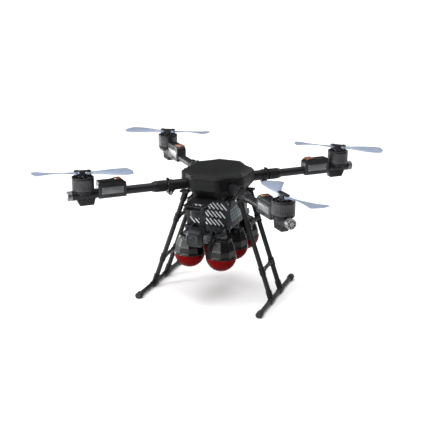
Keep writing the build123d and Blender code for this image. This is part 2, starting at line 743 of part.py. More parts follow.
with BuildPart() as skid_tubes:
    with BuildSketch(Plane.XZ):
        with Locations((-SKID_X, SKID_Z), (SKID_X, SKID_Z)):
            Circle(SKID_R)
            Circle(SKID_R - LEG_WALL, mode=Mode.SUBTRACT)
    extrude(amount=SKID_HALF, both=True)
write(skid_tubes.part, "skid_tubes")

with BuildPart() as skid_feet:
    foot_y = SKID_HALF + FOOT_OVERHANG - FOOT_LENGTH / 2
    with Locations(*[(side * SKID_X, end * foot_y, SKID_Z) for side, end in LEGS]):
        Cylinder(FOOT_R, FOOT_LENGTH, rotation=(90, 0, 0))
    fillet(skid_feet.edges(), FOOT_OVERHANG)
    Box(3 * SKID_X, 3 * SKID_HALF, FOOT_R, align=HANGING, mode=Mode.SUBTRACT)
    with BuildSketch(Plane.XZ):
        with Locations((-SKID_X, SKID_Z), (SKID_X, SKID_Z)):
            Circle(SKID_R + FIT)
    extrude(amount=SKID_HALF + 0.1, both=True, mode=Mode.SUBTRACT)
write(skid_feet.part, "skid_feet")

# ---------------------------------------------------------------- payload
with BuildPart() as cage:
    with BuildSketch(Plane.XY.offset(CAGE_BOTTOM)):
        RectangleRounded(2 * CAGE_X, 2 * CAGE_Y, 6)
        RectangleRounded(2 * (CAGE_X - CAGE_WALL), 2 * (CAGE_Y - CAGE_WALL), 4, mode=Mode.SUBTRACT)
        with GridLocations(2 * CAGE_X - POST, 2 * CAGE_Y - POST, 2, 2):
            Rectangle(POST - 4, POST - 4)
    extrude(amount=CAGE_TOP - CAGE_BOTTOM)
    slot_rise = (CAGE_TOP - CAGE_BOTTOM - SLOT_MARGIN - 4) / SLOT_ROWS
    for row in range(SLOT_ROWS):
        height = CAGE_BOTTOM + SLOT_MARGIN + slot_rise * (row + 0.5)
        with BuildSketch(Plane.XZ):
            with Locations(((row - 1) * SLOT_PITCH / 3, height)):
                with GridLocations(SLOT_PITCH, 1, SLOT_COLUMNS, 1):
                    SlotOverall(SLOT_LENGTH, SLOT_WIDTH, rotation=-45)
        extrude(amount=CAGE_Y + 1, both=True, mode=Mode.SUBTRACT)
write(cage.part, "cage")

with BuildPart() as payload_rails:
    flange_width, flange_height = RACK_FLANGE
    web_height = FLOOR_Z - SEAT - CAGE_TOP - flange_height
    for side in (-1, 1):
        with Locations((side * RACK_X, 0, CAGE_TOP + SEAT)):
            Box(flange_width, 2 * CAGE_Y - 10, flange_height, align=STANDING)
        with Locations((side * RACK_X, 0, CAGE_TOP + flange_height)):
            Box(RACK_WEB, 2 * CAGE_Y - 10, web_height, align=STANDING)
write(payload_rails.part, "payload_rails")

HOUSING_X = 95.0  # half width, between the corner posts
HOUSING_Y = CAGE_Y - CAGE_WALL - 1.5
HOUSING_LIFT = 24.0  # clear of the canister latches
FACE_DROP = 16.0  # the end faces hang lower than the housing between them
FACE_T = 8.0

with BuildPart() as release_controller:
    with Locations((0, 0, CAGE_BOTTOM + HOUSING_LIFT)):
        Box(2 * HOUSING_X, 2 * HOUSING_Y, CAGE_TOP - CAGE_BOTTOM - HOUSING_LIFT - 2, align=STANDING)
    for end in (-1, 1):
        with Locations((0, end * (HOUSING_Y - FACE_T / 2), CAGE_BOTTOM + HOUSING_LIFT)):
            Box(2 * HOUSING_X, FACE_T, FACE_DROP, align=HANGING)
    fillet(release_controller.edges().filter_by(Axis.Z), 2)
write(release_controller.part, "release_controller")

CANISTERS = [(x, y) for y in CANISTER_ROWS for x in (-CANISTER_X, CANISTER_X)]

with BuildPart() as payload_rack:
    rail_height = CAGE_BOTTOM - GAP - RAIL_BOTTOM
    for x in (-CANISTER_X, CANISTER_X):
        with Locations((x, CANISTER_ROWS[1], RAIL_BOTTOM)):
            Box(RAIL_WIDTH, RACK_LENGTH, rail_height, align=STANDING)
    for y in BEAM_ROWS:
        with Locations((0, y, RAIL_BOTTOM)):
            Box(2 * CAGE_X - 4, BEAM_WIDTH, rail_height, align=STANDING)
    with Locations(*[(x, y, RAIL_BOTTOM + rail_height) for x, y in CANISTERS]):
        Box(*LATCH, align=STANDING)
    with Locations(*[(x, y, RAIL_BOTTOM) for x, y in CANISTERS]):
        Cylinder(LATCH_R, rail_height, align=STANDING)
        Cylinder(STEM_R + STEM_SLACK, 4 * LATCH_R, mode=Mode.SUBTRACT)
    with Locations((0, RAIL_BOLTS_Y, RAIL_BOTTOM)):
        with GridLocations(2 * CANISTER_X, RAIL_BOLT_PITCH, 2, 2):
            Cylinder(RAIL_BOLT_R, 3 * rail_height, mode=Mode.SUBTRACT)
write(payload_rack.part, "payload_rack")

with BuildPart() as canister_body:
    for shrink, mode in ((0.0, Mode.ADD), (CANISTER_WALL, Mode.SUBTRACT)):
        with BuildSketch(Plane.XY.offset(CANISTER_Z + SEAT)):
            RegularPolygon(CANISTER_R - shrink, CANISTER_FACES)
        with BuildSketch(Plane.XY.offset(CANISTER_Z + SHOULDER[0] * CANISTER_BODY)):
            RegularPolygon(SHOULDER[1] * CANISTER_R - shrink, CANISTER_FACES)
        with BuildSketch(Plane.XY.offset(CANISTER_Z + CANISTER_BODY - shrink)):
            RegularPolygon(CANISTER_TOP_R - shrink, CANISTER_FACES)
        loft(ruled=True, mode=mode)
    with Locations((0, 0, CANISTER_Z + CANISTER_BODY)):
        Cylinder(CAP_R, 6, align=STANDING)
        Cylinder(STEM_R, STEM_TOP - CANISTER_Z - CANISTER_BODY, align=STANDING)
    with Locations((0, 0, CANISTER_Z + CANISTER_BODY + 5)):
        Cylinder(COLLAR_RING_R, 8, align=STANDING)

with BuildPart() as canister_dome:
    with BuildSketch(Plane.XZ):
        with BuildLine():
            CenterArc((0, CANISTER_Z), CANISTER_R, -90, 90)
            CenterArc((0, CANISTER_Z), CANISTER_R - CANISTER_WALL, -90, 90)
            Line((CANISTER_R - CANISTER_WALL, CANISTER_Z), (CANISTER_R, CANISTER_Z))
            Line((0, CANISTER_Z - CANISTER_R), (0, CANISTER_Z - CANISTER_R + CANISTER_WALL))
        make_face()
    revolve(axis=Axis.Z)

canister = together([canister_body.part, canister_dome.part])
for number, (x, y) in enumerate(CANISTERS, start=1):
    write(Pos(x, y, 0) * canister, f"canister_{number}")

# ---------------------------------------------------------------- gimbal
DAMPER_TOP = FLOOR_Z - 4

with BuildPart() as gimbal_base:
    with BuildSketch(Plane.XY.offset(DAMPER_TOP)):
        with Locations((0, BASE_CENTRE_Y)):
            RectangleRounded(*BASE_PLATE, 8)
        with Locations((0, GIMBAL_Y)):
            Rectangle(60, 36, mode=Mode.SUBTRACT)
    extrude(amount=3.8)
    with BuildSketch(Plane.XY.offset(GIMBAL_PLATE_Z)):
        with Locations((0, GIMBAL_Y)):
            RectangleRounded(*PAN_PLATE, 8)
    extrude(amount=GIMBAL_PLATE_T)
    with Locations((0, GIMBAL_Y, GIMBAL_PLATE_Z)):
        Cylinder(PAN_MOTOR_R, PAN_MOTOR_T, align=HANGING)
        Cylinder(PAN_SHAFT_R + FIT, 3 * PAN_MOTOR_T, mode=Mode.SUBTRACT)
write(gimbal_base.part, "gimbal_base")

with BuildPart() as gimbal_dampers:
    with Locations((0, GIMBAL_Y, (GIMBAL_PLATE_Z + GIMBAL_PLATE_T + DAMPER_TOP) / 2)):
        with GridLocations(*DAMPER_GRID, 2, 2):
            Sphere(DAMPER_R)
    with Locations((0, GIMBAL_Y, GIMBAL_PLATE_Z + GIMBAL_PLATE_T)):
        Box(*BASE_PLATE, 3 * DAMPER_R, align=HANGING, mode=Mode.SUBTRACT)
    with Locations((0, GIMBAL_Y, DAMPER_TOP)):
        Box(*BASE_PLATE, 3 * DAMPER_R, align=STANDING, mode=Mode.SUBTRACT)
write(gimbal_dampers.part, "gimbal_dampers")

PAN_TOP = GIMBAL_PLATE_Z - PAN_MOTOR_T - GAP
ARM_DROP = CAMERA_Z - 22
TILT_X = CAMERA_HALF + 9

with BuildPart() as gimbal_pan_arm:
    with Locations((0, GIMBAL_Y, PAN_TOP)):
        Cylinder(PAN_CAP_R, 12, align=HANGING)
        Cylinder(PAN_SHAFT_R, 20, align=STANDING)
    with BuildSketch(Plane.YZ.offset(-14)):
        with BuildLine():
            Polyline(
                (GIMBAL_Y - 10, PAN_TOP - 6),
                (ROLL_Y + 12, PAN_TOP - 6),
                (ROLL_Y + 20, PAN_TOP - 20),
                (ROLL_Y + 20, ARM_DROP),
                (ROLL_Y + 8, ARM_DROP),
                (ROLL_Y + 8, PAN_TOP - 26),
                (ROLL_Y, PAN_TOP - 18),
                (GIMBAL_Y - 10, PAN_TOP - 18),
                close=True,
            )
        make_face()
    extrude(amount=28)
    fillet(gimbal_pan_arm.edges().filter_by(Axis.X), 2)
    with BuildSketch(Plane.XZ.offset(-ROLL_Y - 20)):
        with Locations((0, CAMERA_Z)):
            Circle(ROLL_MOTOR_R)
    extrude(amount=12)
    with BuildSketch(Plane.XZ.offset(-ROLL_Y - 25)):
        with Locations((0, CAMERA_Z)):
            Circle(PIVOT_SHAFT_R + FIT)
    extrude(amount=30, mode=Mode.SUBTRACT)
write(gimbal_pan_arm.part, "gimbal_pan_arm")

with BuildPart() as gimbal_roll_arm:
    with BuildSketch(Plane.XZ.offset(-ROLL_Y - 7.5)):
        with Locations((0, CAMERA_Z)):
            Circle(ROLL_MOTOR_R)
    extrude(amount=12)
    with BuildSketch(Plane.XZ.offset(-ROLL_Y - 22)):
        with Locations((0, CAMERA_Z)):
            Circle(PIVOT_SHAFT_R)
    extrude(amount=20)
    with BuildSketch(Plane.XY.offset(CAMERA_Z - YOKE_HALF)):
        with BuildLine():
            Polyline(
                (-10, ROLL_Y + 4),
                (TILT_X + 1, ROLL_Y + 4),
                (TILT_X + 11, ROLL_Y - 10),
                (TILT_X + 11, GIMBAL_Y - 14),
                (TILT_X + 1, GIMBAL_Y - 14),
                (TILT_X + 1, ROLL_Y - 4.5),
                (-10, ROLL_Y - 4.5),
                close=True,
            )
        make_face()
    extrude(amount=2 * YOKE_HALF)
    fillet(gimbal_roll_arm.edges().filter_by(Axis.Z), 2)
    with BuildSketch(Plane.YZ.offset(TILT_X - 6)):
        with Locations((GIMBAL_Y, CAMERA_Z)):
            Circle(TILT_MOTOR_R)
    extrude(amount=19)
    fillet(gimbal_roll_arm.faces().sort_by(Axis.X)[-1].edges(), 1.5)
    with BuildSketch(Plane.YZ.offset(TILT_X - 20)):
        with Locations((GIMBAL_Y, CAMERA_Z)):
            Circle(PIVOT_SHAFT_R + FIT)
    extrude(amount=28, mode=Mode.SUBTRACT)
write(gimbal_roll_arm.part, "gimbal_roll_arm")

with BuildPart() as camera_housing:
    with BuildSketch(Plane.YZ.offset(-CAMERA_HALF)):
        with Locations((GIMBAL_Y, CAMERA_Z)):
            Circle(CAMERA_R)
    extrude(amount=2 * CAMERA_HALF)
    fillet(camera_housing.edges(), CAMERA_ROUND)
    with BuildSketch(Plane.XZ.offset(-GIMBAL_Y)):
        with Locations((0, CAMERA_Z)):
            RectangleRounded(*BEZEL, 14)
    extrude(amount=CAMERA_R + 4)
    with BuildSketch(Plane.XZ.offset(-GIMBAL_Y + CAMERA_R - 2)):
        with Locations((0, CAMERA_Z)):
            RectangleRounded(*WINDOW, 10)
    extrude(amount=10, mode=Mode.SUBTRACT)
    with BuildSketch(Plane.YZ.offset(CAMERA_HALF - 5)):
        with Locations((GIMBAL_Y, CAMERA_Z)):
            Circle(PIVOT_SHAFT_R)
    extrude(amount=16)

with BuildPart() as camera_window:
    with BuildSketch(Plane.XZ.offset(-GIMBAL_Y + CAMERA_R - 2)):
        with Locations((0, CAMERA_Z)):
            RectangleRounded(WINDOW[0] - 2 * SEAT, WINDOW[1] - 2 * SEAT, 10 - SEAT)
    extrude(amount=3)
write(together([camera_housing.part, camera_window.part]), "gimbal_camera")
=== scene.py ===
"""Looks of the folding firefighting quadcopter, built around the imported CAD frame.

Metres, +Z up, the nose with its camera along -Y, ground at z = 0. Arm pieces are drawn
once along +X and turned to each corner.
"""

from math import cos, hypot, pi, radians, sin, sqrt

import bmesh
import bpy
from mathutils import Matrix, Vector


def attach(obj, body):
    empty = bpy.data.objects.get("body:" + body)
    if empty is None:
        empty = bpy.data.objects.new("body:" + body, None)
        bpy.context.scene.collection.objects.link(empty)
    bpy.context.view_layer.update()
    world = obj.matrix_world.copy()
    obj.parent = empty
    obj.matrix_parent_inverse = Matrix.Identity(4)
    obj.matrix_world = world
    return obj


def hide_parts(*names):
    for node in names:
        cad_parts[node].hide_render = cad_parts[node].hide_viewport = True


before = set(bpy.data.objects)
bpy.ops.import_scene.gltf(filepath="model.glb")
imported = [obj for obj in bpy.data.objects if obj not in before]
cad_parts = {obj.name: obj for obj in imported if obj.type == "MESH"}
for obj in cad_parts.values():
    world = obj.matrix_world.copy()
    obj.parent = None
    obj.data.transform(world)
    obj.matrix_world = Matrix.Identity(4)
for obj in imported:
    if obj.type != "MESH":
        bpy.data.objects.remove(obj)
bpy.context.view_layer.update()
MM = 0.001
CORNERS = {"fr": -45, "br": 45, "bl": 135, "fl": 225}
COUNTER_SPIN = ("fr", "bl")

# ------------------------------------------------------------------ driving dimensions
ARM_Z = 567 * MM
HINGE_R = 250 * MM
MOTOR_R = 670 * MM
TUBE_R = 20 * MM
TUBE_IN = 263 * MM
TUBE_OUT = 742 * MM
COLLAR_IN = 270 * MM
POD_IN = 470 * MM
POD_OUT = 604 * MM
POD_HALF = 26 * MM
POD_LOW = ARM_Z - 22 * MM
POD_TOP = ARM_Z + 57 * MM
LIGHT_TOP = ARM_Z + 64 * MM
BLADE_Z = 670 * MM
PIVOT = 28 * MM
PROP_R = 229 * MM
COVER_LOW = 559.5 * MM
EDGE_Z = 614.5 * MM
CROWN = 22 * MM
CANISTER_R = 75 * MM
CANISTER_Z = 242.5 * MM
CANISTER_BODY = 88 * MM
SKID_Z = 14.5 * MM
SKID_X = 310 * MM
SKID_HALF = 265 * MM
SKID_R = 11 * MM
LEG_Y = 73.6 * MM
LEG_R = 12 * MM
LEG_LEAN = 0.3477
LEG_TOP = 508 * MM
CROSS_R = 9.5 * MM
CAMERA_Z = 361.5 * MM
GIMBAL_Y = -275 * MM


# ------------------------------------------------------------------ material kit
EDGE_WEAR = 0.9 * MM


class Shader:
    """A node tree under construction, with short names for the nodes used here."""

    def __init__(self, name):
        self.material = bpy.data.materials.new(name)
        self.material.use_nodes = True
        self.tree = self.material.node_tree
        self.tree.nodes.clear()
        self.output = self.tree.nodes.new("ShaderNodeOutputMaterial")
        self.surface = self.tree.nodes.new("ShaderNodeBsdfPrincipled")
        self.link(self.surface.outputs[0], self.output.inputs[0])
        coordinates = self.tree.nodes.new("ShaderNodeTexCoord")
        self.place = coordinates.outputs["Object"]
        self.uv = coordinates.outputs["UV"]

    def link(self, source, target):
        self.tree.links.new(source, target)

    def set(self, **values):
        for socket, value in values.items():
            self.surface.inputs[socket.replace("_", " ")].default_value = value

    def math(self, operation, first, second=0.0, third=0.0):
        node = self.tree.nodes.new("ShaderNodeMath")
        node.operation = operation
        for socket, value in zip(node.inputs, (first, second, third)):
            self.feed(socket, value)
        return node.outputs[0]

    def feed(self, socket, value):
        if isinstance(value, (int, float, tuple)):
            socket.default_value = value
        else:
            self.link(value, socket)

    def split(self, vector):
        node = self.tree.nodes.new("ShaderNodeSeparateXYZ")
        self.link(vector, node.inputs[0])
        return node.outputs

    def noise(self, scale, detail=3.0, stretch=(1, 1, 1)):
        mapping = self.tree.nodes.new("ShaderNodeMapping")
        mapping.inputs["Scale"].default_value = stretch
        self.link(self.place, mapping.inputs["Vector"])
        node = self.tree.nodes.new("ShaderNodeTexNoise")
        node.inputs["Scale"].default_value = scale
        node.inputs["Detail"].default_value = detail
        self.link(mapping.outputs[0], node.inputs["Vector"])
        return node.outputs["Fac"]

    def ramp(self, value, low, high, out_low=0.0, out_high=1.0):
        node = self.tree.nodes.new("ShaderNodeMapRange")
        for socket, item in zip(node.inputs, (value, low, high, out_low, out_high)):
            self.feed(socket, item)
        return node.outputs[0]

    def mix(self, factor, first, second):
        node = self.tree.nodes.new("ShaderNodeMix")
        node.data_type = "RGBA"
        self.feed(node.inputs["Factor"], factor)
        for socket, value in zip((node.inputs[6], node.inputs[7]), (first, second)):
            self.feed(socket, (*value, 1.0) if isinstance(value, tuple) else value)
        return node.outputs[2]

    def bump(self, height, strength, distance):
        node = self.tree.nodes.new("ShaderNodeBump")
        node.inputs["Strength"].default_value = strength
        node.inputs["Distance"].default_value = distance
        self.feed(node.inputs["Height"], height)
        self.link(node.outputs[0], self.surface.inputs["Normal"])

    def edges(self):
        """1 within a millimetre of a sharp edge and 0 elsewhere, for worn edges."""
        soft = self.tree.nodes.new("ShaderNodeBevel")
        soft.inputs["Radius"].default_value = EDGE_WEAR
        flat = self.tree.nodes.new("ShaderNodeNewGeometry")
        turn = self.tree.nodes.new("ShaderNodeVectorMath")
        turn.operation = "DOT_PRODUCT"
        self.link(soft.outputs[0], turn.inputs[0])
        self.link(flat.outputs["Normal"], turn.inputs[1])
        return self.ramp(turn.outputs["Value"], 0.97, 0.80)

    def colour(self, value):
        self.link(value, self.surface.inputs["Base Color"])

    def roughness(self, value):
        self.link(value, self.surface.inputs["Roughness"])


def studio_floor(name):
    """Pale matt floor with a barely visible mottle."""
    s = Shader(name)
    s.colour(s.mix(s.noise(1.5, 4.0), (0.84, 0.84, 0.84), (0.88, 0.88, 0.88)))
    s.roughness(s.ramp(s.noise(6.0), 0.3, 0.7, 0.75, 0.85))
    return s.material


def tone(colour, factor):
    return tuple(min(1.0, channel * factor) for channel in colour)


def moulded(name, colour, rough, grain=900.0, coat=0.0, wear=0.25, shine=0.35, patch=0.08, grit=0.28):
    """Moulded plastic: fine spark texture, slow colour drift, rubbed edges."""
    s = Shader(name)
    drift = s.noise(9.0, 4.0)
    spark = s.noise(grain, 2.0)
    base = s.mix(s.ramp(drift, 0.35, 0.65), tone(colour, 0.86), tone(colour, 1.18))
    worn = s.math("MULTIPLY", s.edges(), s.ramp(s.noise(60.0), 0.4, 0.7, 0.0, wear))
    s.colour(s.mix(worn, base, tone(colour, 3.2)))
    s.roughness(s.ramp(s.noise(38.0, 5.0), 0.3, 0.7, rough - patch, rough + patch))
    s.set(Coat_Weight=coat, Coat_Roughness=0.18, Specular_IOR_Level=shine)
    s.bump(spark, grit, 0.00025)
    return s.material


def anodised(name, colour, rough, metallic=0.85, wear=0.5, shine=0.25):
    """Machined aluminium with a dyed skin: faint tool marks, bright rubbed edges."""
    s = Shader(name)
    marks = s.noise(700.0, 2.0)
    drift = s.noise(14.0, 3.0)
    base = s.mix(s.ramp(drift, 0.35, 0.65), tone(colour, 0.85), tone(colour, 1.2))
    worn = s.math("MULTIPLY", s.edges(), s.ramp(s.noise(90.0), 0.42, 0.62, 0.0, wear))
    s.colour(s.mix(worn, base, (0.55, 0.55, 0.56)))
    s.roughness(s.ramp(marks, 0.3, 0.7, rough - 0.06, rough + 0.08))
    s.set(Metallic=metallic, Specular_IOR_Level=shine)
    s.bump(marks, 0.15, 0.0002)
    return s.material


def carbon(name, flat=False):
    """Twill carbon fibre under clear resin, laid out by UV in metres or in plan."""
    s = Shader(name)
    across = s.split(s.place if flat else s.uv)
    tow = 2.4 * MM
    u, v = (s.math("DIVIDE", across[axis], tow) for axis in (0, 1))
    step = s.math("ADD", s.math("FLOOR", u), s.math("FLOOR", v))
    whole = s.math("MULTIPLY", s.math("FLOOR", s.math("DIVIDE", step, 4.0)), 4.0)
    turn = s.math("SUBTRACT", step, whole)
    over = s.math("LESS_THAN", turn, 2.0)
    along = s.math("ABSOLUTE", s.math("SUBTRACT", s.math("FRACT", u), 0.5))
    cross = s.math("ABSOLUTE", s.math("SUBTRACT", s.math("FRACT", v), 0.5))
    under = s.math("MULTIPLY", s.math("SUBTRACT", 1.0, over), cross)
    crown = s.math("ADD", s.math("MULTIPLY", over, along), under)
    cloth = s.mix(over, (0.005, 0.005, 0.006), (0.013, 0.0135, 0.0155))
    s.colour(s.mix(s.ramp(s.noise(30.0), 0.3, 0.7), cloth, (0.008, 0.008, 0.0095)))
    s.roughness(s.ramp(s.noise(55.0, 4.0), 0.3, 0.7, 0.32, 0.48))
    s.set(Coat_Weight=0.08, Coat_Roughness=0.25, Specular_IOR_Level=0.22)
    s.bump(crown, 0.12, 0.0003)
    return s.material


def rubber(name):
    """Soft black rubber with a dusty, pitted skin."""
    s = Shader(name)
    dust = s.ramp(s.noise(45.0, 6.0), 0.48, 0.75)
    s.colour(s.mix(dust, (0.012, 0.012, 0.012), (0.045, 0.043, 0.040)))
    s.roughness(s.ramp(s.noise(120.0), 0.3, 0.7, 0.72, 0.92))
    s.bump(s.noise(500.0, 3.0), 0.4, 0.0004)
    return s.material


def gloss_red(name):
    """Deep red gloss dome: tinted clear plastic, painted darker towards its bottom as shade."""
    s = Shader(name)
    height = s.split(s.place)[2]
    # painted shade: this ramp runs from the dome's bottom pole up to its rim, so the red darkens downwards
    deep = s.ramp(height, CANISTER_Z - CANISTER_R, CANISTER_Z, 0.0, 1.0)
    cloud = s.ramp(s.noise(22.0, 3.0), 0.35, 0.7)
    base = s.mix(deep, (0.085, 0.0005, 0.0008), (0.14, 0.0008, 0.0012))
    s.colour(s.mix(s.math("MULTIPLY", cloud, 0.6), base, (0.06, 0.001, 0.0015)))
    s.roughness(s.ramp(s.noise(70.0, 4.0), 0.3, 0.7, 0.14, 0.26))
    s.set(Coat_Weight=0.025, Coat_Roughness=0.06, Specular_IOR_Level=0.02)
    s.bump(s.noise(35.0, 2.0), 0.04, 0.001)
    return s.material


def blade_plastic(name):
    """Translucent slate-blue blade with faint streaks; the blade thins towards the tip."""
    s = Shader(name)
    streak = s.noise(60.0, 3.0, (1, 1, 1))
    s.colour(s.mix(s.ramp(streak, 0.3, 0.7), (0.19, 0.235, 0.33), (0.25, 0.30, 0.40)))
    s.roughness(s.ramp(s.noise(90.0), 0.3, 0.7, 0.28, 0.42))
    s.set(Alpha=0.8, Coat_Weight=0.1, Coat_Roughness=0.25)
    s.bump(s.noise(400.0), 0.05, 0.0003)
    return s.material


def painted_panel(name):
    """Navy panel with a generic block of pale slanted bars near its front end."""
    s = Shader(name)
    _, y, z = s.split(s.place)
    pitch = 13 * MM
    row = s.math("FRACT", s.math("DIVIDE", s.math("SUBTRACT", z, 392 * MM), 18.0 * MM))
    slant = s.math("ADD", y, s.math("MULTIPLY", z, 0.55))
    column = s.math("FRACT", s.math("DIVIDE", slant, pitch * 2.2))
    bar = s.math("MULTIPLY", s.math("GREATER_THAN", row, 0.2), s.math("GREATER_THAN", column, 0.16))
    inside = s.math("MULTIPLY", s.math("GREATER_THAN", z, 392 * MM), s.math("LESS_THAN", z, 464 * MM))
    start, end = s.math("GREATER_THAN", slant, 120 * MM), s.math("LESS_THAN", slant, 262 * MM)
    length = s.math("MULTIPLY", start, end)
    block = s.math("MULTIPLY", bar, s.math("MULTIPLY", inside, length))
    navy = s.mix(s.ramp(s.noise(12.0), 0.3, 0.7), (0.006, 0.009, 0.019), (0.010, 0.014, 0.028))
    pale = s.mix(s.ramp(s.noise(80.0, 5.0), 0.35, 0.7), (0.11, 0.15, 0.165), (0.17, 0.21, 0.23))
    s.colour(s.mix(block, navy, pale))
    s.roughness(s.ramp(s.noise(50.0), 0.3, 0.7, 0.34, 0.50))
    s.set(Specular_IOR_Level=0.15)
    s.bump(s.noise(800.0), 0.1, 0.0002)
    return s.material


def amber_lens(name):
    """Copper-tinted light cover with a ribbed inside."""
    s = Shader(name)
    ribs = s.noise(220.0, 1.0, (1, 1, 0.2))
    s.colour(s.mix(s.ramp(ribs, 0.35, 0.65), (0.10, 0.030, 0.011), (0.30, 0.11, 0.045)))
    s.roughness(s.ramp(s.noise(60.0), 0.3, 0.7, 0.18, 0.30))
    s.set(Coat_Weight=0.3, Coat_Roughness=0.15)
    s.bump(ribs, 0.3, 0.0008)
    return s.material


def lens_glass(name):
    """Dark coated glass with a violet-green sheen that shifts across its face."""
    s = Shader(name)
    sweep = s.noise(16.0, 1.0)
    s.colour(s.mix(s.ramp(sweep, 0.3, 0.7), (0.010, 0.010, 0.022), (0.008, 0.020, 0.018)))
    s.roughness(s.ramp(s.noise(40.0), 0.3, 0.7, 0.03, 0.08))
    s.set(Coat_Weight=0.15, Coat_Roughness=0.05, Specular_IOR_Level=0.25)
    return s.material


def bright_metal(name, colour=(0.62, 0.62, 0.63), rough=0.26):
    """Bare machined metal with fine tool marks and a little tarnish."""
    s = Shader(name)
    marks = s.noise(900.0, 2.0, (1, 1, 6))
    stain = s.ramp(s.noise(70.0, 5.0), 0.45, 0.75)
    s.colour(s.mix(s.math("MULTIPLY", stain, 0.5), colour, tone(colour, 0.55)))
    s.roughness(s.ramp(marks, 0.3, 0.7, rough - 0.06, rough + 0.1))
    s.set(Metallic=1.0)
    s.bump(marks, 0.12, 0.0002)
    return s.material


COVER = moulded("cover_charcoal", (0.0065, 0.0067, 0.0072), 0.55, shine=0.13)
BLACK_PLASTIC = moulded("black_plastic", (0.006, 0.006, 0.007), 0.42, shine=0.2)
POD_GREY = moulded("pod_grey", (0.020, 0.021, 0.023), 0.38, coat=0.05, shine=0.25)
CANISTER_BLACK = moulded("canister_black", (0.004, 0.0042, 0.0045), 0.27, coat=0.04, wear=0.0,
                        shine=0.30, patch=0.02, grit=0.03)
LIGHT_HOUSING = moulded("light_housing", (0.80, 0.82, 0.83), 0.45, wear=0.0)
BATTERY_SHELL = moulded("battery_shell", (0.020, 0.021, 0.024), 0.5)
BLACK_METAL = anodised("black_metal", (0.013, 0.013, 0.0145), 0.38, metallic=0.5, wear=0.4)
BELL_GREY = anodised("bell_grey", (0.045, 0.045, 0.048), 0.34, metallic=0.75, wear=0.4)
CAGE_BLACK = anodised("cage_black", (0.014, 0.015, 0.018), 0.42, metallic=0.3, wear=0.25)
SCREW = bright_metal("screw", (0.50, 0.50, 0.52), 0.3)
COPPER = bright_metal("winding_copper", (0.55, 0.22, 0.10), 0.35)
CARBON = carbon("carbon_twill")
RUBBER = rubber("rubber")
RED = gloss_red("gloss_red")
BLADE = blade_plastic("blade_blue")
PANEL = painted_panel("side_panel")
AMBER = amber_lens("amber_lens")
POD_PANEL = anodised("pod_panel", (0.12, 0.122, 0.127), 0.36, metallic=0.4, wear=0.3, shine=0.5)
DARK_SCREW = bright_metal("dark_screw", (0.07, 0.07, 0.075), 0.35)
END_GREY = bright_metal("end_grey", (0.30, 0.30, 0.31), 0.36)
GLASS = lens_glass("lens_glass")
CAMERA_GREY = anodised("camera_grey", (0.016, 0.016, 0.0175), 0.42, metallic=0.2, wear=0.1)
RING = moulded("ring_grey", (0.10, 0.105, 0.11), 0.4)
PLATE_CARBON = carbon("plate_carbon", flat=True)
GREEN_LIGHT = moulded("charge_light", (0.10, 0.45, 0.16), 0.3, coat=0.4)
FLOOR = studio_floor("studio_floor")


# ------------------------------------------------------------------ mesh kit
def mm(points, base=0.0):
    """Points given in millimetres, in metres, the second number counted from a base in metres."""
    return [(across * MM, base + up * MM) for across, up in points]


def turned(angle):
    return Matrix.Rotation(radians(angle), 4, "Z")


def make_object(name, mesh, materials, sharp=32):
    """Turn a bmesh into a named object with smooth faces and crisp corners."""
    data = bpy.data.meshes.new(name)
    bmesh.ops.recalc_face_normals(mesh, faces=mesh.faces)
    mesh.to_mesh(data)
    mesh.free()
    for item in materials:
        data.materials.append(item)
    data.shade_smooth()
    data.set_sharp_from_angle(angle=radians(sharp))
    piece = bpy.data.objects.new(name, data)
    bpy.context.scene.collection.objects.link(piece)
    return piece


def lathe(mesh, profile, segments=72, place=Matrix(), index=0, shape=None, tile=False):
    """Revolve (radius, height) points about Z. shape(angle, radius, height) bends them."""
    rings = []
    for radius, height in profile:
        if radius < 1e-7:
            rings.append([mesh.verts.new(place @ Vector((0, 0, height)))])
            continue
        ring = []
        for step in range(segments):
            angle = 2 * pi * step / segments
            reach, rise = shape(angle, radius, height) if shape else (radius, height)
            ring.append(mesh.verts.new(place @ Vector((reach * cos(angle), reach * sin(angle), rise))))
        rings.append(ring)
    layer = mesh.loops.layers.uv.verify() if tile else None
    travel = 0.0
    for (low, high), (start, end) in zip(zip(rings, rings[1:]), zip(profile, profile[1:])):
        reach = hypot(end[0] - start[0], end[1] - start[1])
        for step in range(segments):
            after = (step + 1) % segments
            if len(low) == 1:
                corners = (low[0], high[after], high[step])
            elif len(high) == 1:
                corners = (low[step], low[after], high[0])
            else:
                corners = (low[step], low[after], high[after], high[step])
            face = mesh.faces.new(corners)
            middle = 2 * pi * (step + 0.5) / segments
            spot = (start[0] + end[0]) / 2, (start[1] + end[1]) / 2
            face.material_index = index(middle, *spot) if callable(index) else index
            if layer and len(corners) == 4:
                around = 2 * pi * max(start[0], end[0]) / segments
                far = travel + reach
                spots = ((step, travel), (step + 1, travel), (step + 1, far), (step, far))
                for loop, (turns, along_tube) in zip(face.loops, spots):
                    loop[layer].uv = (turns * around, along_tube)
        travel += reach


def along(start, end):
    """Matrix that lays local +Z from one point to another."""
    direction = (Vector(end) - Vector(start)).normalized()
    return Matrix.Translation(start) @ direction.to_track_quat("Z", "Y").to_matrix().to_4x4()


def tube(mesh, start, end, radius, wall=1.6 * MM, segments=48, index=0):
    """Open tube between two points, with a real wall and UV in metres."""
    length = (Vector(end) - Vector(start)).length
    inner = radius - wall
    profile = [(inner, 0), (radius - 0.4 * MM, 0), (radius, 0.4 * MM), (radius, length - 0.4 * MM)]
    profile += [(radius - 0.4 * MM, length), (inner, length), (inner, 0)]
    lathe(mesh, profile, segments, along(start, end), index, tile=1.0)
    bmesh.ops.remove_doubles(mesh, verts=mesh.verts, dist=1e-7)


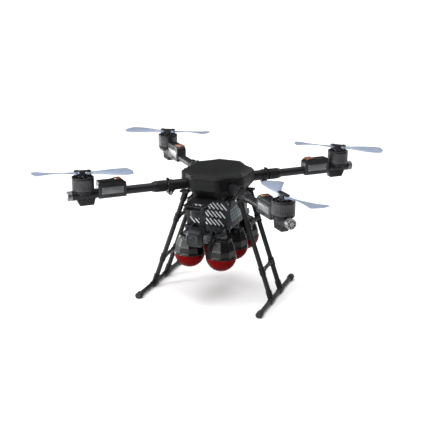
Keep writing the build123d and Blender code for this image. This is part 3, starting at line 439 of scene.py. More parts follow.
def slab(mesh, outline, low, high, place=Matrix(), bevel=1.0 * MM, steps=2, index=0):
    """Extrude an outline in local XY between two heights and round its edges."""
    before = set(mesh.faces)
    bottom = [mesh.verts.new(place @ Vector((x, y, low))) for x, y in outline]
    top = [mesh.verts.new(place @ Vector((x, y, high))) for x, y in outline]
    made = [mesh.faces.new(bottom), mesh.faces.new(top)]
    count = len(outline)
    for step in range(count):
        after = (step + 1) % count
        made.append(mesh.faces.new((bottom[step], bottom[after], top[after], top[step])))
    bmesh.ops.recalc_face_normals(mesh, faces=made)
    if bevel:
        around = {edge for face in made for edge in face.edges}
        edges = [edge for edge in around if edge.calc_face_angle(0) > 0.35]
        bmesh.ops.bevel(mesh, geom=edges, offset=bevel, segments=steps, affect="EDGES", profile=0.5)
    for face in set(mesh.faces) - before:
        face.material_index = index


def block(mesh, centre, size, bevel=1.5 * MM, place=Matrix(), steps=2, index=0):
    """Box with rounded edges."""
    half_x, half_y, half_z = (value / 2 for value in size)
    outline = [(-half_x, -half_y), (half_x, -half_y), (half_x, half_y), (-half_x, half_y)]
    slab(mesh, outline, -half_z, half_z, place @ Matrix.Translation(centre), bevel, steps, index)


def rounded(width, height, radius, steps=6):
    """Outline of a rectangle with round corners, about the origin, from sizes in millimetres."""
    points = []
    for corner, (sx, sy) in enumerate(((1, 1), (-1, 1), (-1, -1), (1, -1))):
        for step in range(steps + 1):
            angle = pi / 2 * (corner + step / steps)
            x = sx * (width / 2 - radius) + radius * cos(angle)
            y = sy * (height / 2 - radius) + radius * sin(angle)
            points.append((x * MM, y * MM))
    return points


def screw(mesh, spot, direction, radius, index=0):
    """Socket-head screw with a hexagonal recess."""
    spot = Vector(spot)
    place = along(spot, spot + Vector(direction))
    rim = radius * 0.62
    height = radius * 0.9
    profile = [(radius, -0.2 * MM), (radius, height * 0.8), (radius * 0.88, height), (rim, height)]
    lathe(mesh, profile, 24, place, index)
    hexagon = [(rim * 0.98 * cos(pi / 3 * step), rim * 0.98 * sin(pi / 3 * step)) for step in range(6)]
    lathe(mesh, [(rim, height), (rim * 0.95, height - 0.05 * MM)], 24, place, index)
    rim_verts = [mesh.verts.new(place @ Vector((x, y, height - 0.05 * MM))) for x, y in hexagon]
    well = [mesh.verts.new(place @ Vector((x * 0.95, y * 0.95, height * 0.35))) for x, y in hexagon]
    for step in range(6):
        after = (step + 1) % 6
        face = mesh.faces.new((rim_verts[step], rim_verts[after], well[after], well[step]))
        face.material_index = index
    mesh.faces.new(well).material_index = index


def screw_ring(mesh, place, ring, height, size, start, index):
    """Six screws evenly round a place's Z axis."""
    out = place.to_3x3() @ Vector((0, 0, 1))
    for number in range(6):
        angle = start + pi / 3 * number
        screw(mesh, place @ Vector((ring * cos(angle), ring * sin(angle), height)), out, size, index)


XZ_SIDE = Matrix(((1, 0, 0, 0), (0, 0, -1, 0), (0, 1, 0, 0), (0, 0, 0, 1)))  # local XY onto XZ
YZ_FACE = Matrix(((0, 0, 1, 0), (1, 0, 0, 0), (0, 1, 0, 0), (0, 0, 0, 1)))  # local XY onto YZ
ARM_AXIS = Matrix.Translation((0, 0, ARM_Z)) @ YZ_FACE  # local Z runs out along the arm


def wear(node, material):
    """Give a CAD node its finished material."""
    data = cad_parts[node].data
    data.materials.clear()
    data.materials.append(material)


def build(name, materials, body, replaced=(), sharp=32):
    """Decorator: the function fills a mesh, which becomes a piece riding on its body."""
    def run(fill):
        mesh = bmesh.new()
        fill(mesh)
        piece = make_object(name, mesh, materials, sharp)
        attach(piece, body)
        if replaced:
            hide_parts(*replaced)
        return piece
    return run


def rim(mesh, outer, inner, low, high, place=Matrix(), index=0):
    """Flat ring between two outlines with the same number of points."""
    rings = []
    for outline, height in ((outer, low), (outer, high), (inner, high), (inner, low)):
        rings.append([mesh.verts.new(place @ Vector((x, y, height))) for x, y in outline])
    count = len(outer)
    for first, second in zip(rings, rings[1:] + rings[:1]):
        for step in range(count):
            after = (step + 1) % count
            face = mesh.faces.new((first[step], first[after], second[after], second[step]))
            face.material_index = index


def grid_skin(mesh, rings, index=0):
    """Join rings of points, each with the same count, into one skin."""
    made = [[mesh.verts.new(point) for point in ring] for ring in rings]
    count = len(rings[0])
    for first, second in zip(made, made[1:]):
        for step in range(count):
            after = (step + 1) % count
            face = mesh.faces.new((first[step], first[after], second[after], second[step]))
            face.material_index = index
    return made


# ------------------------------------------------------------------ hub cover
HUB_QUARTER = ((60 * MM, -186 * MM), (160 * MM, -80 * MM))
SOCKET_HOLE = 27 * MM
BATTERY_OPENING = (56 * MM, 594 * MM)  # half width, top
SIDE_STEPS = 60
CORNER_STEPS = 6
CORNER_CUT = 15 * MM
NOTCH = 9 * MM
CROWN_SPAN = 0.38
CROWN_POWER = 2.2


def hub_corners():
    right = list(HUB_QUARTER) + [(x, -y) for x, y in reversed(HUB_QUARTER)]
    return [Vector(point) for point in right + [(-x, -y) for x, y in right]]


def hub_outline():
    """Rounded octagon as (point, inward hollow) pairs; the diagonal sides are hollowed."""
    corners = hub_corners()
    points = []
    for number, corner in enumerate(corners):
        before, after = corners[number - 1], corners[(number + 1) % len(corners)]
        start = corner + (before - corner).normalized() * CORNER_CUT
        end = corner + (after - corner).normalized() * CORNER_CUT
        for step in range(CORNER_STEPS):
            t = step / CORNER_STEPS
            bend = start * (1 - t) ** 2 + corner * 2 * t * (1 - t) + end * t ** 2
            points.append((bend, Vector((0, 0))))
        finish = after + (corner - after).normalized() * CORNER_CUT
        side = (finish - end).normalized()
        inward = Vector((-side.y, side.x)) * (NOTCH if number % 2 == 0 else 0.0)
        for step in range(SIDE_STEPS):
            t = step / SIDE_STEPS
            hollow = min(1.0, 1.6 * sin(pi * t)) ** 2
            points.append((end.lerp(finish, t), inward * hollow))
    return points


def wall_bottom(point):
    """Lower edge of the cover's wall, lifted over the arm sockets and the battery."""
    across = abs(abs(point.x) - abs(point.y)) / sqrt(2)
    if across < SOCKET_HOLE:
        return ARM_Z + sqrt(SOCKET_HOLE ** 2 - across ** 2)
    half, top = BATTERY_OPENING
    if point.y > 0.17 and abs(point.x) < half:
        return top
    return COVER_LOW


def cover_ring(points, scale, height, sink=0.0):
    """One ring of the cover; height None follows the wall's lower edge."""
    fade = max(0.0, (scale - 1 + CROWN_SPAN) / CROWN_SPAN) ** 2
    ring = []
    for point, hollow in points:
        spot = (point + hollow * fade) * scale
        ring.append((spot.x, spot.y, wall_bottom(point) if height is None else height - sink))
    return ring


def crown_height(scale):
    return EDGE_Z + CROWN * (1 - (1 - min((1 - scale) / CROWN_SPAN, 1.0)) ** CROWN_POWER)


def fill_cover(mesh):
    points = hub_outline()
    edge = ((1.0, 16), (1.0, 7.4), (0.993, 7.0), (0.993, 5.8), (1.0, 5.4), (1.001, 2.0), (0.998, 0.6))
    rings = [cover_ring(points, 1.0, None)]
    rings += [cover_ring(points, scale, EDGE_Z - below * MM) for scale, below in edge]
    scales = [0.992, 0.98, 0.96, 0.93, 0.9, 0.86, 0.81, 0.75, 0.68, 0.6, 0.5, 0.35, 0.2, 0.05]
    rings += [cover_ring(points, scale, crown_height(scale)) for scale in scales]
    wall = 0.982
    inner = [cover_ring(points, scale * wall, crown_height(scale), 3 * MM) for scale in reversed(scales)]
    inner.append(cover_ring(points, wall, EDGE_Z, 16 * MM))
    inner.append(cover_ring(points, wall, None))
    made = grid_skin(mesh, rings)
    mesh.faces.new(made[-1])
    lining = grid_skin(mesh, inner)
    mesh.faces.new(list(reversed(lining[0])))
    for step in range(len(points)):
        after = (step + 1) % len(points)
        mesh.faces.new((made[0][step], made[0][after], lining[-1][after], lining[-1][step]))


build("hub_cover", [COVER], "airframe", ["top_cover"], 40)(fill_cover)


def fill_cover_trim(mesh):
    slab(mesh, rounded(118, 150, 14), 636.0 * MM, 637.3 * MM, bevel=0.5 * MM)
    for x, y in ((50, 66), (-50, 66), (50, -66), (-50, -66)):
        screw(mesh, (x * MM, y * MM, 637.2 * MM), (0, 0, 1), 2.6 * MM, 1)
    for corner in hub_corners():
        spot = corner * 0.9
        screw(mesh, (spot.x, spot.y, crown_height(0.9) - 0.3 * MM), (0, 0, 1), 3.2 * MM, 1)


build("hub_cover_trim", [COVER, DARK_SCREW], "airframe")(fill_cover_trim)


# ------------------------------------------------------------------ arms
def arm_frame(corner):
    return turned(CORNERS[corner]) @ ARM_AXIS


def arm_side(corner):
    return turned(CORNERS[corner]) @ XZ_SIDE


HINGE_Z = 534.5 * MM
BARREL_R = 12 * MM
LATCH_TOP = ARM_Z + 37 * MM


def fill_knuckle(mesh, corner):
    face = HINGE_R + 0.5 * MM
    flange = [(15, 0), (26.6, 0), (28, 1.4), (28, 11.2), (26.6, 12.5), (20.6, 12.5), (20.6, 16)]
    lathe(mesh, mm(flange, face), 72, arm_frame(corner))
    low = ARM_Z + 22 * MM
    latch = [(face + 2 * MM, low), (face + 17 * MM, low), (face + 15 * MM, LATCH_TOP - 3 * MM),
             (face + 5 * MM, LATCH_TOP), (face + 2 * MM, LATCH_TOP - 4 * MM)]
    slab(mesh, latch, -9 * MM, 9 * MM, arm_side(corner), 1.2 * MM)
    hinge = arm_side(corner) @ Matrix.Translation((HINGE_R, HINGE_Z, 0))
    lathe(mesh, mm([(0, -6.9), (11.4, -6.9), (12, -6.3), (12, 6.3), (11.4, 6.9), (0, 6.9)]), 48, hinge)
    web = [(face, HINGE_Z), (HINGE_R + BARREL_R, HINGE_Z), (face + 12.5 * MM, HINGE_Z + 17 * MM),
           (face, HINGE_Z + 17 * MM)]
    slab(mesh, web, -6.9 * MM, 6.9 * MM, arm_side(corner), 0.6 * MM)
    screw_ring(mesh, arm_frame(corner), 24 * MM, face + 12.4 * MM, 2.0 * MM, pi / 6, 1)


def grip(angle, radius, height):
    """Grip grooves round the middle of a lock collar."""
    if COLLAR_IN + 9 * MM < height < COLLAR_IN + 43 * MM:
        radius -= 1.1 * MM * max(0.0, cos(20 * angle)) ** 0.6
    return radius, height


def fill_collar(mesh, corner):
    steps = [(20.3, 0), (25.2, 0), (27, 1.8), (27, 8.6), (26.4, 9), (26.4, 9.4), (27, 10), (27, 42)]
    steps += [(26.4, 42.6), (26.4, 43.4), (27, 44), (26.9, 50), (26.2, 54)]
    steps += [(22.6, 67), (21.6, 68), (20.3, 68)]
    lathe(mesh, mm(steps, COLLAR_IN), 160, arm_frame(corner), shape=grip)


def fill_pod(mesh, corner):
    side = arm_side(corner)
    split = POD_LOW + 62 * MM
    shell = [(POD_IN, POD_LOW), (POD_OUT, POD_LOW), (POD_OUT, split), (POD_IN, split)]
    slab(mesh, shell, -POD_HALF, POD_HALF, side, 4 * MM, 3, 0)
    lamp = POD_IN + 54 * MM
    cap = [(lamp, split), (POD_OUT - 0.4 * MM, split), (POD_OUT - 0.4 * MM, POD_TOP - 8 * MM),
           (POD_OUT - 5 * MM, POD_TOP), (lamp + 8 * MM, POD_TOP), (lamp, LIGHT_TOP - 3 * MM)]
    slab(mesh, cap, -POD_HALF + 1 * MM, POD_HALF - 1 * MM, side, 2.4 * MM, 3, 1)
    front, back, brow = POD_IN + 0.4 * MM, lamp - 0.4 * MM, LIGHT_TOP - 4 * MM
    hood = [(front, split - 1 * MM), (back, split - 1 * MM), (back, brow), (POD_IN + 18 * MM, brow),
            (front, LIGHT_TOP - 19 * MM)]
    slab(mesh, hood, -POD_HALF + 1 * MM, POD_HALF - 1 * MM, side, 2 * MM, 2, 1)
    sill = LIGHT_TOP - 12 * MM
    lens = [(POD_IN + 12 * MM, sill), (lamp - 6 * MM, sill), (lamp - 6 * MM, LIGHT_TOP - 1.5 * MM),
            (lamp - 9 * MM, LIGHT_TOP), (POD_IN + 22 * MM, LIGHT_TOP),
            (POD_IN + 13 * MM, LIGHT_TOP - 8 * MM)]
    slab(mesh, lens, -POD_HALF + 7 * MM, POD_HALF - 7 * MM, side, 1.6 * MM, 3, 2)
    for face in (-1, 1):
        centre = Vector(((POD_IN + POD_OUT) / 2, ARM_Z + 14 * MM, 0))
        flip = Matrix.Identity(4) if face > 0 else Matrix.Rotation(pi, 4, "Y")
        spot = side @ Matrix.Translation(centre) @ flip @ Matrix.Translation((0, 0, POD_HALF))
        frame_outer, frame_inner = rounded(112, 40, 6), rounded(106, 34, 4)
        rim(mesh, frame_outer, frame_inner, -1 * MM, 0.9 * MM, spot, 1)
        slab(mesh, rounded(104.6, 32.6, 3.6), -1 * MM, 0.5 * MM, spot, 0.4 * MM, 2, 4)
        for number in range(5):
            rib = Matrix.Translation(((number - 2) * 7 * MM, -25 * MM, 0))
            slab(mesh, rounded(3, 9, 1.4), -1 * MM, 0.7 * MM, spot @ rib, 0.3 * MM, 1, 1)
        for x, y in ((48.5, 12.5), (-48.5, 12.5), (48.5, -12.5), (-48.5, -12.5)):
            at = spot @ Vector((x * MM, y * MM, 0.4 * MM))
            screw(mesh, at, spot.to_3x3() @ Vector((0, 0, 1)), 1.9 * MM, 3)


FITTING = 726 * MM  # where the bright end fitting starts along the arm


def off_centre(angle, count):
    """Distance from the middle of one of count equal sectors, as a share of a sector."""
    return abs((angle * count / (2 * pi)) % 1 - 0.5)


def lattice(angle, radius, height):
    """Diamond openings round the arm's bright end fitting, and windows in its end."""
    face = height > 747.5 * MM and 8.8 * MM < radius < 17.9 * MM
    if face and off_centre(angle, 8) < 0.3:
        return radius, height - 3 * MM
    if radius < 22 * MM or not FITTING + 1 * MM < height < 746 * MM:
        return radius, height
    turns, rise = angle * 12 / (2 * pi), (height - FITTING) / (10.5 * MM)
    crossing = abs((turns + rise) % 1 - 0.5), abs((turns - rise) % 1 - 0.5)
    if max(crossing) < 0.36:
        return radius - 1.6 * MM, height
    return radius, height


def lattice_index(angle, radius, height):
    reach, depth = lattice(angle, radius, height)
    return 1 if reach < radius - 1 * MM or depth < height - 1 * MM else 2


def base_notches(angle, radius, height):
    """Notches round the rim of the motor's base plate."""
    if radius > 47 * MM and off_centre(angle, 12) < 0.2:
        return radius - 3.4 * MM, height
    return radius, height


def stator_teeth(angle, radius, height):
    if off_centre(angle, 24) < 0.2:
        return radius - 3 * MM, height
    return radius, height


def stator_shape(angle, radius, height):
    """Teeth above the motor's base plate, notches in the plate itself."""
    if height > 590.6 * MM and radius > 43 * MM:
        return stator_teeth(angle, radius, height)
    return base_notches(angle, radius, height)


def stator_index(angle, radius, height):
    """Copper in the slots between the teeth."""
    return 3 if height > 591 * MM and stator_teeth(angle, radius, height)[0] < radius else 0


def mount_index(angle, radius, height):
    """Black sleeve, then the grey fitting with dark openings."""
    if height < FITTING - 0.1 * MM:
        return 0
    return lattice_index(angle, radius, height)


def fill_mount(mesh, corner):
    side = arm_side(corner)
    sleeve = [(20.2, 608.5), (22.4, 608.5), (23, 609.2), (23, 622), (22.2, 622.6), (22.2, 624)]
    sleeve += [(23, 624.6), (23, 722), (22.6, 723), (22, 725.6), (22.9, 726)]
    fitting = [(22.9 * MM, FITTING + 0.7 * step * MM) for step in range(30)]
    end_cap = [(22.9, 747), (22, 747.9), (20.2, 747.9), (18, 747.9), (17.6, 747.9), (9, 747.9)]
    end_cap += [(8.6, 747.9), (0, 747.9)]
    profile = mm(sleeve) + fitting + mm(end_cap)
    lathe(mesh, profile, 180, arm_frame(corner), mount_index, lattice)
    low, high = ARM_Z - 49 * MM, ARM_Z - 23 * MM
    inner, outer, top = MOTOR_R - 53 * MM, MOTOR_R + 32 * MM, ARM_Z - 2 * MM
    clamp = [(inner + 7 * MM, low), (outer - 12 * MM, low), (outer, high), (outer, top), (inner, top)]
    clamp.append((inner, high))
    slab(mesh, clamp, -17 * MM, 17 * MM, side, 1.6 * MM, 2, 0)
    for number in range(8):
        reach = MOTOR_R - 41 * MM + number * 8 * MM
        far, foot = reach + 4 * MM, low + 2.5 * MM
        fin = [(reach, foot), (far, foot), (far, high), (reach, high)]
        slab(mesh, fin, -19 * MM, 19 * MM, side, 0.7 * MM, 1, 0)
    axis = turned(CORNERS[corner]) @ Matrix.Translation((MOTOR_R, 0, 0))
    pedestal = [(34, 567), (34, 571), (33, 572), (33, 580), (36, 582.5), (49.4, 582.5), (50, 583.2)]
    pedestal += [(50, 589.8), (49.4, 590.5), (44, 590.5), (44, 640), (0, 640)]
    lathe(mesh, mm(pedestal), 240, axis, stator_index, stator_shape)
    for number in range(12):
        angle = pi / 6 * number
        spot = axis @ Vector((33 * MM * cos(angle), 33 * MM * sin(angle), 576 * MM))
        out = turned(CORNERS[corner]) @ Vector((cos(angle), sin(angle), 0))
        if abs(sin(angle)) > 0.4:
            screw(mesh, spot, out, 2.2 * MM, 4)
    for reach in (-36, -12, 12):
        for face in (-1, 1):
            spot = side @ Vector((MOTOR_R + reach * MM, ARM_Z - 15 * MM, face * 16.9 * MM))
            screw(mesh, spot, turned(CORNERS[corner]) @ Vector((0, -face, 0)), 2.6 * MM, 4)


BELL_RIBS = 32
BELL_WINDOWS = 8


def bell_shape(angle, radius, height):
    """Cooling ribs round the can and deep windows in its cap."""
    if radius > 49 * MM and 600.5 * MM < height < 637.5 * MM:
        return radius - (0.8 * MM if off_centre(angle, BELL_RIBS) < 0.2 else 0.0), height
    if 24.5 * MM < radius < 43.5 * MM and height > 652 * MM:
        return radius, height - (8 * MM if off_centre(angle, BELL_WINDOWS) < 0.3 else 0.0)
    return radius, height


def bell_index(angle, radius, height):
    return 1 if height > 644.5 * MM else 0


def fill_bell(mesh, corner):
    axis = turned(CORNERS[corner]) @ Matrix.Translation((MOTOR_R, 0, 0))
    outer = [(46.5, 604), (46.5, 592.8), (50.2, 592.6), (51, 593.4), (51, 597), (50.3, 597.6), (50.3, 599)]
    outer += [(51, 600), (51, 601), (51, 637), (51, 638), (51, 643.4), (49.9, 644), (49.9, 645)]
    outer += [(51, 645.6), (51, 650.4), (50.2, 652.0), (48.0, 653.2), (44.5, 654.0), (43.4, 654.1)]
    outer += [(43.3, 654.1), (25, 655.4), (24.6, 655.4)]
    outer += [(24.0, 655.5), (16, 655.5), (15.4, 654.9), (0, 654.9)]
    lathe(mesh, mm(outer), 192, axis, bell_index, bell_shape)
    screw_ring(mesh, axis, 20 * MM, 655.4 * MM, 2.0 * MM, pi / 8, 2)


PROP_ANGLES = {"fr": -44, "br": 2, "bl": 11, "fl": 30}
REST_FOLD = {("a", "fr"): 18, ("b", "fr"): -18}  # blades that rest part-folded
CLAMP_LOW = 659.1 * MM
CLAMP_HIGH = 680.9 * MM


def prop_frame(corner):
    angle = radians(CORNERS[corner])
    centre = Matrix.Translation((MOTOR_R * cos(angle), MOTOR_R * sin(angle), 0))
    return centre @ turned(PROP_ANGLES[corner])


def fill_clamp(mesh, corner):
    place = prop_frame(corner)
    outline = rounded(80, 25, 12.4, 10)
    slab(mesh, outline, CLAMP_LOW, CLAMP_LOW + 4 * MM, place, 0.7 * MM)
    slab(mesh, outline, CLAMP_HIGH - 4 * MM, CLAMP_HIGH, place, 0.7 * MM)
    slab(mesh, rounded(30, 23, 3), CLAMP_LOW + 3 * MM, CLAMP_HIGH - 3 * MM, place, 0)
    boss = [(0, 655.6), (15, 655.6), (15, 657), (14.4, 657.6), (14.4, 659.2), (0, 659.2)]
    lathe(mesh, mm(boss), 48, place)
    for reach in (-PIVOT, PIVOT):
        spot = place @ Matrix.Translation((reach, 0, 0))
        bolt = [(3, 658.3), (3, 680.9), (6, 680.95), (6, 683.6), (5.4, 684.3), (3.4, 684.3), (3.2, 684.2)]
        bolt += [(3.0, 681.8), (0, 681.6)]
        lathe(mesh, mm(bolt), 36, spot, 1)
    lathe(mesh, mm([(5.2, 680.8), (5.2, 682.2), (4.6, 682.8), (0, 682.8)]), 36, place, 1)


BLADE_ROOT = 7 * MM
BLADE_TIP = PROP_R - PIVOT - 0.5 * MM
BLADE_WIDE = 174 * MM


def blade_section(reach):
    """Chord, thickness, pitch and sweep of the blade at one distance from its pivot."""
    share = (reach - 36 * MM) / (BLADE_WIDE - 36 * MM)
    inner = min(max(share, 0.0), 1.0)
    chord = (24 + 81 * inner) * MM if share > 0 else (17 + 7 * (reach / (36 * MM)) ** 2) * MM
    tip = max(0.0, (reach - BLADE_WIDE) / (BLADE_TIP - BLADE_WIDE))
    chord -= 52 * MM * tip ** 1.2
    sweep = -19.5 * MM * tip ** 1.2
    thickness = (9 - 6.4 * inner ** 0.5) * MM
    pitch = radians(18 - 15 * inner)
    return chord, thickness, pitch, sweep


def fill_blade(mesh, corner, letter):
    flip = Matrix.Scale(-1, 4, (0, 1, 0)) if corner in COUNTER_SPIN else Matrix.Identity(4)
    spoke = prop_frame(corner) @ turned(0 if letter == "a" else 180)
    fold = turned(REST_FOLD.get((letter, corner), 0))
    place = spoke @ Matrix.Translation((PIVOT, 0, BLADE_Z)) @ fold @ flip
    eye = [(3.05, -6.4), (10.4, -6.4), (11, -5.8), (11, 5.8), (10.4, 6.4), (3.05, 6.4), (3.05, -6.4)]
    lathe(mesh, mm(eye), 48, place)
    rings = []
    count = 28
    spans = 44
    for span in range(spans + 1):
        reach = BLADE_ROOT + (BLADE_TIP - BLADE_ROOT) * span / spans
        chord, thickness, pitch, sweep = blade_section(reach)
        camber = 0.045 * chord * min(1.0, max(0.0, (reach - 30 * MM) / (60 * MM)))
        ring = []
        for step in range(count):
            angle = 2 * pi * step / count
            along_chord = cos(angle)
            full = 1 - 0.45 * max(0.0, (reach - 30 * MM) / BLADE_TIP) * (1 - along_chord) / 2
            rise = thickness / 2 * sin(angle) * full + camber * (1 - along_chord ** 2)
            across = chord / 2 * along_chord
            y = sweep + across * cos(pitch) - rise * sin(pitch)
            z = across * sin(pitch) + rise * cos(pitch)
            ring.append(place @ Vector((reach, y, z)))
        rings.append(ring)
    made = grid_skin(mesh, rings)
    mesh.faces.new(made[0])
    mesh.faces.new(made[-1])


def fill_arm_tube(mesh, corner):
    start, end = (turned(CORNERS[corner]) @ Vector((reach, 0, ARM_Z)) for reach in (TUBE_IN, TUBE_OUT))
    tube(mesh, start, end, TUBE_R)


POD_MIX = [POD_GREY, BLACK_PLASTIC, AMBER, SCREW, POD_PANEL]
MOUNT_MIX = [BLACK_METAL, BLACK_PLASTIC, END_GREY, COPPER, DARK_SCREW]
ARM_PIECES = (  # name, materials, body, slot, CAD node, angle of a crisp edge, maker
    ("arm_knuckle", [BLACK_METAL, SCREW], "arm", "black_metal", "arm", 32, fill_knuckle),
    ("arm_tube", [CARBON], "arm", "carbon_tube", "arm", 32, fill_arm_tube),
    ("collar", [BLACK_PLASTIC], "lock_collar", "collar_plastic", "lock_collar", 32, fill_collar),
    ("pod", POD_MIX, "arm", "pod_shell", "esc_pod", 32, fill_pod),
    ("mount", MOUNT_MIX, "arm", "black_metal", "motor_mount", 28, fill_mount),
    ("bell", [BELL_GREY, BLACK_METAL, SCREW], "rotor", "motor_bell", "motor_bell", 28, fill_bell),
    ("clamp", [BLACK_METAL, DARK_SCREW], "rotor", "clamp_metal", "prop_clamp", 32, fill_clamp),
)
for corner in CORNERS:
    for name, materials, body, slot, node, sharp, fill in ARM_PIECES:
        build(f"{name}_{corner}", materials, f"{body}_{corner}", [f"{node}_{corner}"], sharp)(
            lambda mesh: fill(mesh, corner))
    for letter in "ab":
        blade = f"blade_{letter}_{corner}"
        build(f"propeller_{letter}_{corner}", [BLADE], blade, [blade])(
            lambda mesh: fill_blade(mesh, corner, letter))


# ------------------------------------------------------------------ landing gear
CROSS_HEIGHTS = (157.5 * MM, 375.5 * MM)
LEGS = [(side, end) for side in (-1, 1) for end in (-1, 1)]


def leg_point(side, end, height):
    return Vector((side * (SKID_X - LEG_LEAN * (height - SKID_Z)), end * LEG_Y, height))


def fill_gear(mesh):
    for side, end in LEGS:
        tube(mesh, leg_point(side, end, SKID_Z + 16 * MM), leg_point(side, end, LEG_TOP), LEG_R)
    for side in (-1, 1):
        tube(mesh, (side * SKID_X, -SKID_HALF, SKID_Z), (side * SKID_X, SKID_HALF, SKID_Z), SKID_R)
        for height in CROSS_HEIGHTS:
            x = leg_point(side, 1, height).x
            reach = LEG_Y - LEG_R - 1 * MM
            tube(mesh, (x, -reach, height), (x, reach, height), CROSS_R)


GEAR_NODES = ["leg_tubes", "skid_tubes", "cross_tubes"]
build("gear_tubes", [CARBON], "airframe", GEAR_NODES)(fill_gear)


def fill_gear_screws(mesh):
    for side, end in LEGS:
        out = Vector((side, 0, LEG_LEAN)).normalized()
        for height in CROSS_HEIGHTS:
            for shift in (-12, 12):
                spot = leg_point(side, end, height + shift * MM)
                screw(mesh, spot + out * 14.8 * MM, out, 2.4 * MM)
        screw(mesh, leg_point(side, end, SKID_Z + 38 * MM) + out * 14.8 * MM, out, 2.4 * MM)
        for shift in (-20, 20):
            spot = Vector((side * (SKID_X + 13.8 * MM), end * LEG_Y + shift * MM, SKID_Z))
            screw(mesh, spot, (side, 0, 0), 2.4 * MM)


build("gear_screws", [SCREW], "airframe")(fill_gear_screws)

# ------------------------------------------------------------------ payload
CAGE_X = 110 * MM
CAGE_Y = 130 * MM
CAGE_LOW = 361.5 * MM
CAGE_HIGH = 498.5 * MM


def fill_side_panels(mesh):
    middle = (CAGE_LOW + CAGE_HIGH) / 2
    for side in (-1, 1):
        place = Matrix.Translation((side * CAGE_X, 0, middle)) @ YZ_FACE
        low, high = sorted((side * -0.4 * MM, side * 1.2 * MM))
        slab(mesh, rounded(244, 126, 5), low, high, place, 0.4 * MM)
        for y in (-112, 0, 112):
            for z in (-55, 55):
                spot = side * (CAGE_X + 1.1 * MM), y * MM, middle + z * MM
                screw(mesh, spot, (side, 0, 0), 2.4 * MM, 1)


build("cage_side_panels", [PANEL, SCREW], "airframe")(fill_side_panels)


def fill_cage_screws(mesh):
    for end in (-1, 1):
        for x in (-1, 1):
            for z in (CAGE_LOW + 7 * MM, CAGE_HIGH - 7 * MM):
                screw(mesh, (x * (CAGE_X - 7 * MM), end * CAGE_Y, z), (0, end, 0), 2.6 * MM)


build("cage_screws", [SCREW], "airframe")(fill_cage_screws)

FLUTES = 10
FLUTE_HOLLOW = 0.004
SHOULDER = 0.42  # height share where a canister starts to close in


def flute(angle, radius, height):
    """Ten broad, slightly hollow facets round a canister, fading at its rim and shoulder."""
    rise = (height - CANISTER_Z) / CANISTER_BODY
    if not 0.0 < rise < 0.99:
        return radius, height
    fade = min(1.0, (1.0 - rise) * 8, (rise + 0.05) * 7)
    half = pi / FLUTES
    swing = (angle % (2 * half)) - half
    facet = cos(half) / cos(swing) - FLUTE_HOLLOW * (1 - (swing / half) ** 2)
    return radius * (1 + fade * (facet - 1)), height


def body_radius(rise):
    """Nearly straight sides, a soft bend at the shoulder, then a straight taper."""
    bend = max(0.0, rise - SHOULDER + 0.05) ** 2 / 0.2 if rise < SHOULDER + 0.05 else rise - SHOULDER
    return CANISTER_R - 14 * MM * rise - 13 * MM * bend / (1 - SHOULDER)


def fill_canister(mesh, centre):
    profile = [(73.0 * MM, CANISTER_Z - 2 * MM), (74.4 * MM, CANISTER_Z - 1.6 * MM)]
    profile.append((CANISTER_R, CANISTER_Z))
    for step in range(1, 27):
        profile.append((body_radius(step / 26), CANISTER_Z + CANISTER_BODY * step / 26))
    shoulder = [(46.5, 90), (43, 91.4), (36, 92.2), (30, 92.4), (29, 93.0), (26.5, 93.1), (26.5, 101)]
    shoulder += [(25.8, 101.8), (12, 101.8), (8, 102), (8, 131.4), (0, 131.4)]
    lathe(mesh, profile + mm(shoulder, CANISTER_Z), 160, Matrix.Translation(centre), canister_index, flute)


def canister_index(angle, radius, height):
    return 1 if CANISTER_Z + 92.6 * MM < height < CANISTER_Z + 101.9 * MM else 0


def fill_dome(mesh, centre):
    profile = [(73.0 * MM, CANISTER_Z - 1.4 * MM), (74.2 * MM, CANISTER_Z - 2.0 * MM)]
    radius = CANISTER_R - 0.6 * MM
    for step in range(1, 25):
        angle = pi / 2 * step / 24
        profile.append((radius * cos(angle), CANISTER_Z - 2 * MM - (radius - 1.4 * MM) * sin(angle)))
    profile[-1] = (0, profile[-1][1])
    lathe(mesh, profile, 120, Matrix.Translation(centre))


ROWS = (-160 * MM, 8 * MM, 176 * MM)
CANISTER_X = 81 * MM
spots = [(x, y, 0) for y in ROWS for x in (-CANISTER_X, CANISTER_X)]
for number, centre in enumerate(spots, start=1):
    name = f"canister_{number}"
    build(f"{name}_body", [CANISTER_BLACK, RING], name, [name], 16)(
        lambda mesh: fill_canister(mesh, centre))
    build(f"{name}_dome", [RED], name, [name], 60)(lambda mesh: fill_dome(mesh, centre))


# ------------------------------------------------------------------ battery
def fill_battery_trim(mesh):
    rear = 182 * MM
    for number in range(6):
        x = (number - 2.5) * 10 * MM
        block(mesh, (x, rear + 10.5 * MM, ARM_Z + 5.6 * MM), (4 * MM, 6 * MM, 2.4 * MM), 0.8 * MM)
    back = Matrix.Translation((0, rear, ARM_Z)) @ Matrix.Rotation(pi, 4, "Z") @ XZ_SIDE
    outer, inner = rounded(102, 40, 6), rounded(98, 36, 4.5)
    rim(mesh, outer, inner, -1 * MM, 0.8 * MM, back)
    for number in range(4):
        spot = back @ Matrix.Translation(((-18 + number * 7) * MM, 12 * MM, 0))
        lathe(mesh, mm([(2, -0.4), (2, 0.5), (1.5, 0.9), (0, 1.0)]), 20, spot, 1)
    spot = back @ Matrix.Translation((16 * MM, 12 * MM, 0))
    lathe(mesh, mm([(4, -0.4), (4, 0.9), (3.4, 1.3), (0, 1.1)]), 28, spot, 2)


build("battery_trim", [BLACK_PLASTIC, GREEN_LIGHT, RUBBER], "battery")(fill_battery_trim)

# ------------------------------------------------------------------ gimbal camera
CAMERA_CENTRE = (0, GIMBAL_Y, CAMERA_Z)


